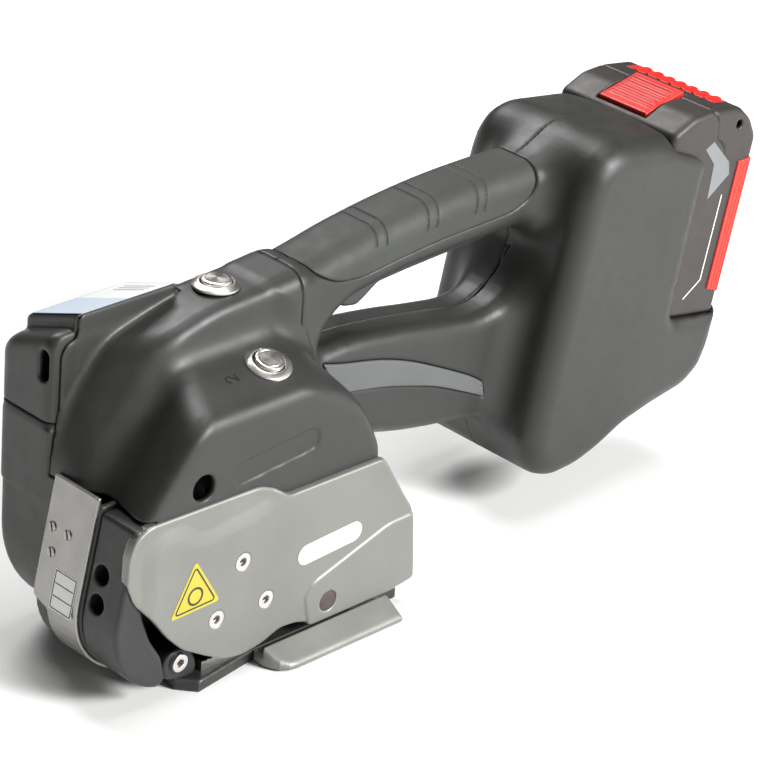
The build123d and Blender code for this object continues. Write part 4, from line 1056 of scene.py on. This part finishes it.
# ---- Battery ---------------------------------------------------------------------------------
RELEASE_OUTLINE = rounded([(252.6, 183.2), (280.0, 188.8), (279.2, 194.0), (251.4, 188.6)], 1.2)
SEAM_PLAN = rounded(
    [(230, 60), (286.5, 60), (286.5, 172), (279, 176.5), (279.6, 187), (268, 200), (230, 200)], 4
)
STRIP_SIDE = [(298.3, 160.4), (308.0, 160.4), (294.6, 90.5), (286.0, 94.0)]


def battery_case(x, y, z):
    outer = battery(x, y, z)
    made = np.maximum(outer, -(outer + 2.5))
    sink = plane((265, 0, 187.2), (-0.2, 0, 0.98), x, y, z)
    opening = polygon([(251, 170), (280.3, 170), (280.3, 210), (251, 210)], x, z)
    well = np.maximum(opening, np.abs(y + 4) - 16.2)
    inner = np.maximum(well - 1.6, np.abs(sink + 2.4) - 1.6)
    made = np.minimum(made, np.maximum(inner, outer + 0.5))
    made = smax(made, -np.maximum(well, -(sink + 1.2)), 0.5)
    seam = np.maximum(np.abs(polygon(SEAM_PLAN, x, z)) - 0.35, -(outer + 0.7))
    made = smax(made, -np.maximum(seam, 150 - z), 0.4)
    hole = np.maximum(np.hypot(x - 296.0, z - 180.5) - 2.3, 35.8 - np.abs(y - HANDLE_Y))
    return smax(made, -hole, 0.5)


def release(x, y, z):
    made = extruded(polygon(RELEASE_OUTLINE, x, z), np.abs(y + 4) - 15.4, 0.9)
    for n in range(5):
        at = 257.5 + 4.2 * n
        top = plane((265, 0, 191.2), (-0.2, 0, 0.98), x, y, z)
        bar = np.hypot(x - at, np.maximum(np.abs(top + 0.3), 0)) - 1.15
        made = smin(made, np.maximum(bar, np.abs(y + 4) - 12.6), 0.7)
    return made


def side_strips(x, y, z):
    plan = polygon(STRIP_SIDE, x, z)
    across = np.abs(np.abs(y - HANDLE_Y) - BATTERY_HALF + 0.2) - 1.0
    made = extruded(plan, across, 0.5)
    lean = math.tan(LEAN)
    for n in (-1, 0, 1):
        at = np.abs(x - 297.3 - (z - 127) * lean - 2.4 * n) - 0.32
        made = smax(made, -np.maximum(at, BATTERY_HALF + 0.35 - np.abs(y - HANDLE_Y)), 0.4)
    return made


def rear_band(x, y, z):
    outer = battery(x, y, z)
    plan = polygon([(286.5, 170), (299.5, 170), (299.5, 200), (286.5, 200)], x, z)
    made = extruded(np.maximum(plan, -(outer + 1.5)), np.abs(y + 4) - 29, 0.5)
    made = np.maximum(made, outer - 0.9)
    ribs = np.abs(np.mod(y + 4, 7.5) - 3.75) - 2.9
    return smax(made, -np.maximum(ribs, -(outer - 0.1)), 0.5)


def add_battery():
    for name, shape, low, high, step, paint, body, slot_name, nodes in (
        ("battery_case_moulding", battery_case, (229, -44, 77), (312, 34, 193), 0.9, BATTERY, "battery",
         "battery_plastic", ["battery_case"]),
        ("battery_release_moulding", release, (250, -22, 182), (281, 12, 196), 0.5, RED, "release",
         "battery_red",
         ["battery_release"]),
        ("battery_rear_band", rear_band, (285, -34, 176), (300, 26, 196), 0.6, RED, "battery",
         None, []),
    ):
        finish_piece(moulded(name, shape, low, high, step), paint, body, nodes)
    for word, low_y, high_y in (("near", -45, -40), ("far", 30, 35)):
        piece = moulded(f"battery_strip_{word}", side_strips, (285, low_y, 89), (309, high_y, 162), 0.5)
        finish_piece(piece, ORANGE, "battery", ["battery_side_strips"])


# ---- Labels and marks ------------------------------------------------------------------------


def sheet(name, outline, place, paint, body, thick=0.12):
    """A thin flat label; the outline is in the place's own X and Y."""
    return finish_piece(prism(name, outline, place, thick), paint, body)


def bar(a, b, width):
    """The outline of a straight stroke."""
    a, b = np.array(a, float), np.array(b, float)
    along = (b - a) / np.hypot(*(b - a))
    side = np.array((-along[1], along[0])) * width / 2
    return [tuple(p) for p in (a + side, b + side, b - side, a - side)][::-1]


def strokes(name, lines, place, width, paint, body, thick=0.12):
    """Several strokes as one piece. Each line is a list of points."""
    parts = []
    for line in lines:
        for a, b in zip(line, line[1:]):
            parts.append(prism(name, bar(a, b, width), place, thick))
    return finish_piece(joined(name, parts), paint, body)


def closed(points):
    """The outline as one line that ends where it starts."""
    return points + points[:1]


def inset(points, by):
    """A convex outline moved in by some distance, about its centre."""
    centre = np.mean(points, axis=0)
    made = []
    for p in points:
        away = np.array(p) - centre
        made.append(tuple(centre + away * (1 - by / np.hypot(*away))))
    return made


def add_labels():
    face = place_at((0, CAST_FACE - 0.15, 0), (0, -1, 0))
    corner = [(-67.3, 69.5), (-52.0, 44.6), (-81.0, 43.8)]
    sheet("warning_edge", rounded(corner, 2.6), face, YELLOW, "rocker")
    line = rounded(inset(corner, 3.2), 2.2)
    strokes("warning_line", [closed(line)], lifted(face, 0.06), 0.8, INK, "rocker", 0.08)
    ring = [(-66.7 + 4.0 * math.cos(a), 51.6 + 4.0 * math.sin(a)) for a in np.radians(range(0, 361, 15))]
    strokes("warning_ring", [ring], lifted(face, 0.06), 1.1, INK, "rocker", 0.08)
    ends = [(-0.4, 49.2), (28.9, 50.9)]
    tilt = math.atan2(1.7, 29.3)
    oval = [(ends[1][0] + 5.0 * math.cos(a + tilt), ends[1][1] + 5.0 * math.sin(a + tilt))
            for a in np.radians(np.linspace(-90, 90, 12))]
    oval += [(ends[0][0] + 5.0 * math.cos(a + tilt), ends[0][1] + 5.0 * math.sin(a + tilt))
             for a in np.radians(np.linspace(90, 270, 12))]
    sheet("blank_plate", oval, lifted(face, 0.1), PAPER, "rocker", 0.3)
    normal = (-math.cos(NOSE_LEAN), 0, math.sin(NOSE_LEAN))
    tag = place_at((nose_point(50, 1.85)[0], -22.0, 50), normal, (0, -1, 0))
    plate = [(-7.2, -9.5), (7.2, -9.5), (7.2, 9.5), (-7.2, 9.5)]
    sheet("strip_label", plate, tag, PAPER, "frame", 0.2)
    edge = inset(plate, 1.0)
    lines = [closed(edge), [(-6, -3), (6, -3)], [(-6, 3), (6, 3)]]
    strokes("strip_label_lines", lines, lifted(tag, 0.06), 0.5, INK, "frame", 0.08)
    top = place_at((-59, 17, 0), FAR_SLOPE)
    top.translation.z = 168.3 - 0.36 / 0.933 * 15.5 + 0.1
    card = [(-26.0, -18.2), (26.5, -18.2), (26.5, 18.0), (-26.0, 18.0)]
    sheet("cap_label_edge", rounded(card, 1.2), lifted(top, 0.06), INK, "frame", 0.1)
    for word, left, right, paint in (("lower", -25.4, 0, BLUE), ("upper", 0, 25.9, PAPER)):
        field = [(left, -17.6), (right, -17.6), (right, 17.4), (left, 17.4)]
        sheet(f"cap_label_{word}", field, lifted(top, 0.12), paint, "frame", 0.08)
    bands = [[(14.0 + 3.2 * n, -11), (14.0 + 3.2 * n, 10)] for n in range(3)]
    strokes("cap_label_bands", bands, lifted(top, 0.17), 0.9, GREY, "frame", 0.06)
    digit = place_at((-31.8, -38.1, 137.8), PLATFORM, (0, 1, 0))
    two = [
        (-2.0, 1.6), (-1.4, 2.7), (0, 3.1), (1.4, 2.6), (1.9, 1.4), (1.2, 0.1), (-2.1, -2.8), (2.2, -2.8),
    ]
    strokes("digit_two", [two], digit, 0.75, PIT, "frame", 0.5)
    side = place_at((0, HANDLE_Y - BATTERY_HALF - 0.1, 0), (0, -1, 0))
    panel = [(271.8, 172.8), (277.7, 175.6), (291.3, 161.6), (292.6, 154.8), (277.8, 144.9), (279.6, 163.3)]
    sheet("battery_panel", panel[::-1], side, GREY, "battery", 0.3)
    bent = [(288.9, 144.6), (280.5, 100.5), (268.5, 93.0)]
    strokes("battery_line", [bent], side, 0.7, PAPER, "battery", 0.3)


NODE_PAINT = {
    "lower_gripper": STEEL, "weld_anvil": STEEL, "control_board": GREEN, "battery_cells": CELL,
    "terminal_block": BLACK, "drive_belt": BLACK, "tension_switch": BLACK, "weld_switch": BLACK,
    "main_frame": FRAME, "gearbox_plate": FRAME, "weld_carrier": FRAME, "base_screws": ZINC,
    "far_cover_screws": OXIDE, "shell_screws": OXIDE,
}
for node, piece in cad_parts.items():
    piece.data.materials.clear()
    piece.data.materials.append(NODE_PAINT.get(node, STEEL))

add_camera()
add_studio()
add_front_covers()
add_rear_shells()
add_metal_parts()
add_buttons()
add_battery()
add_labels()
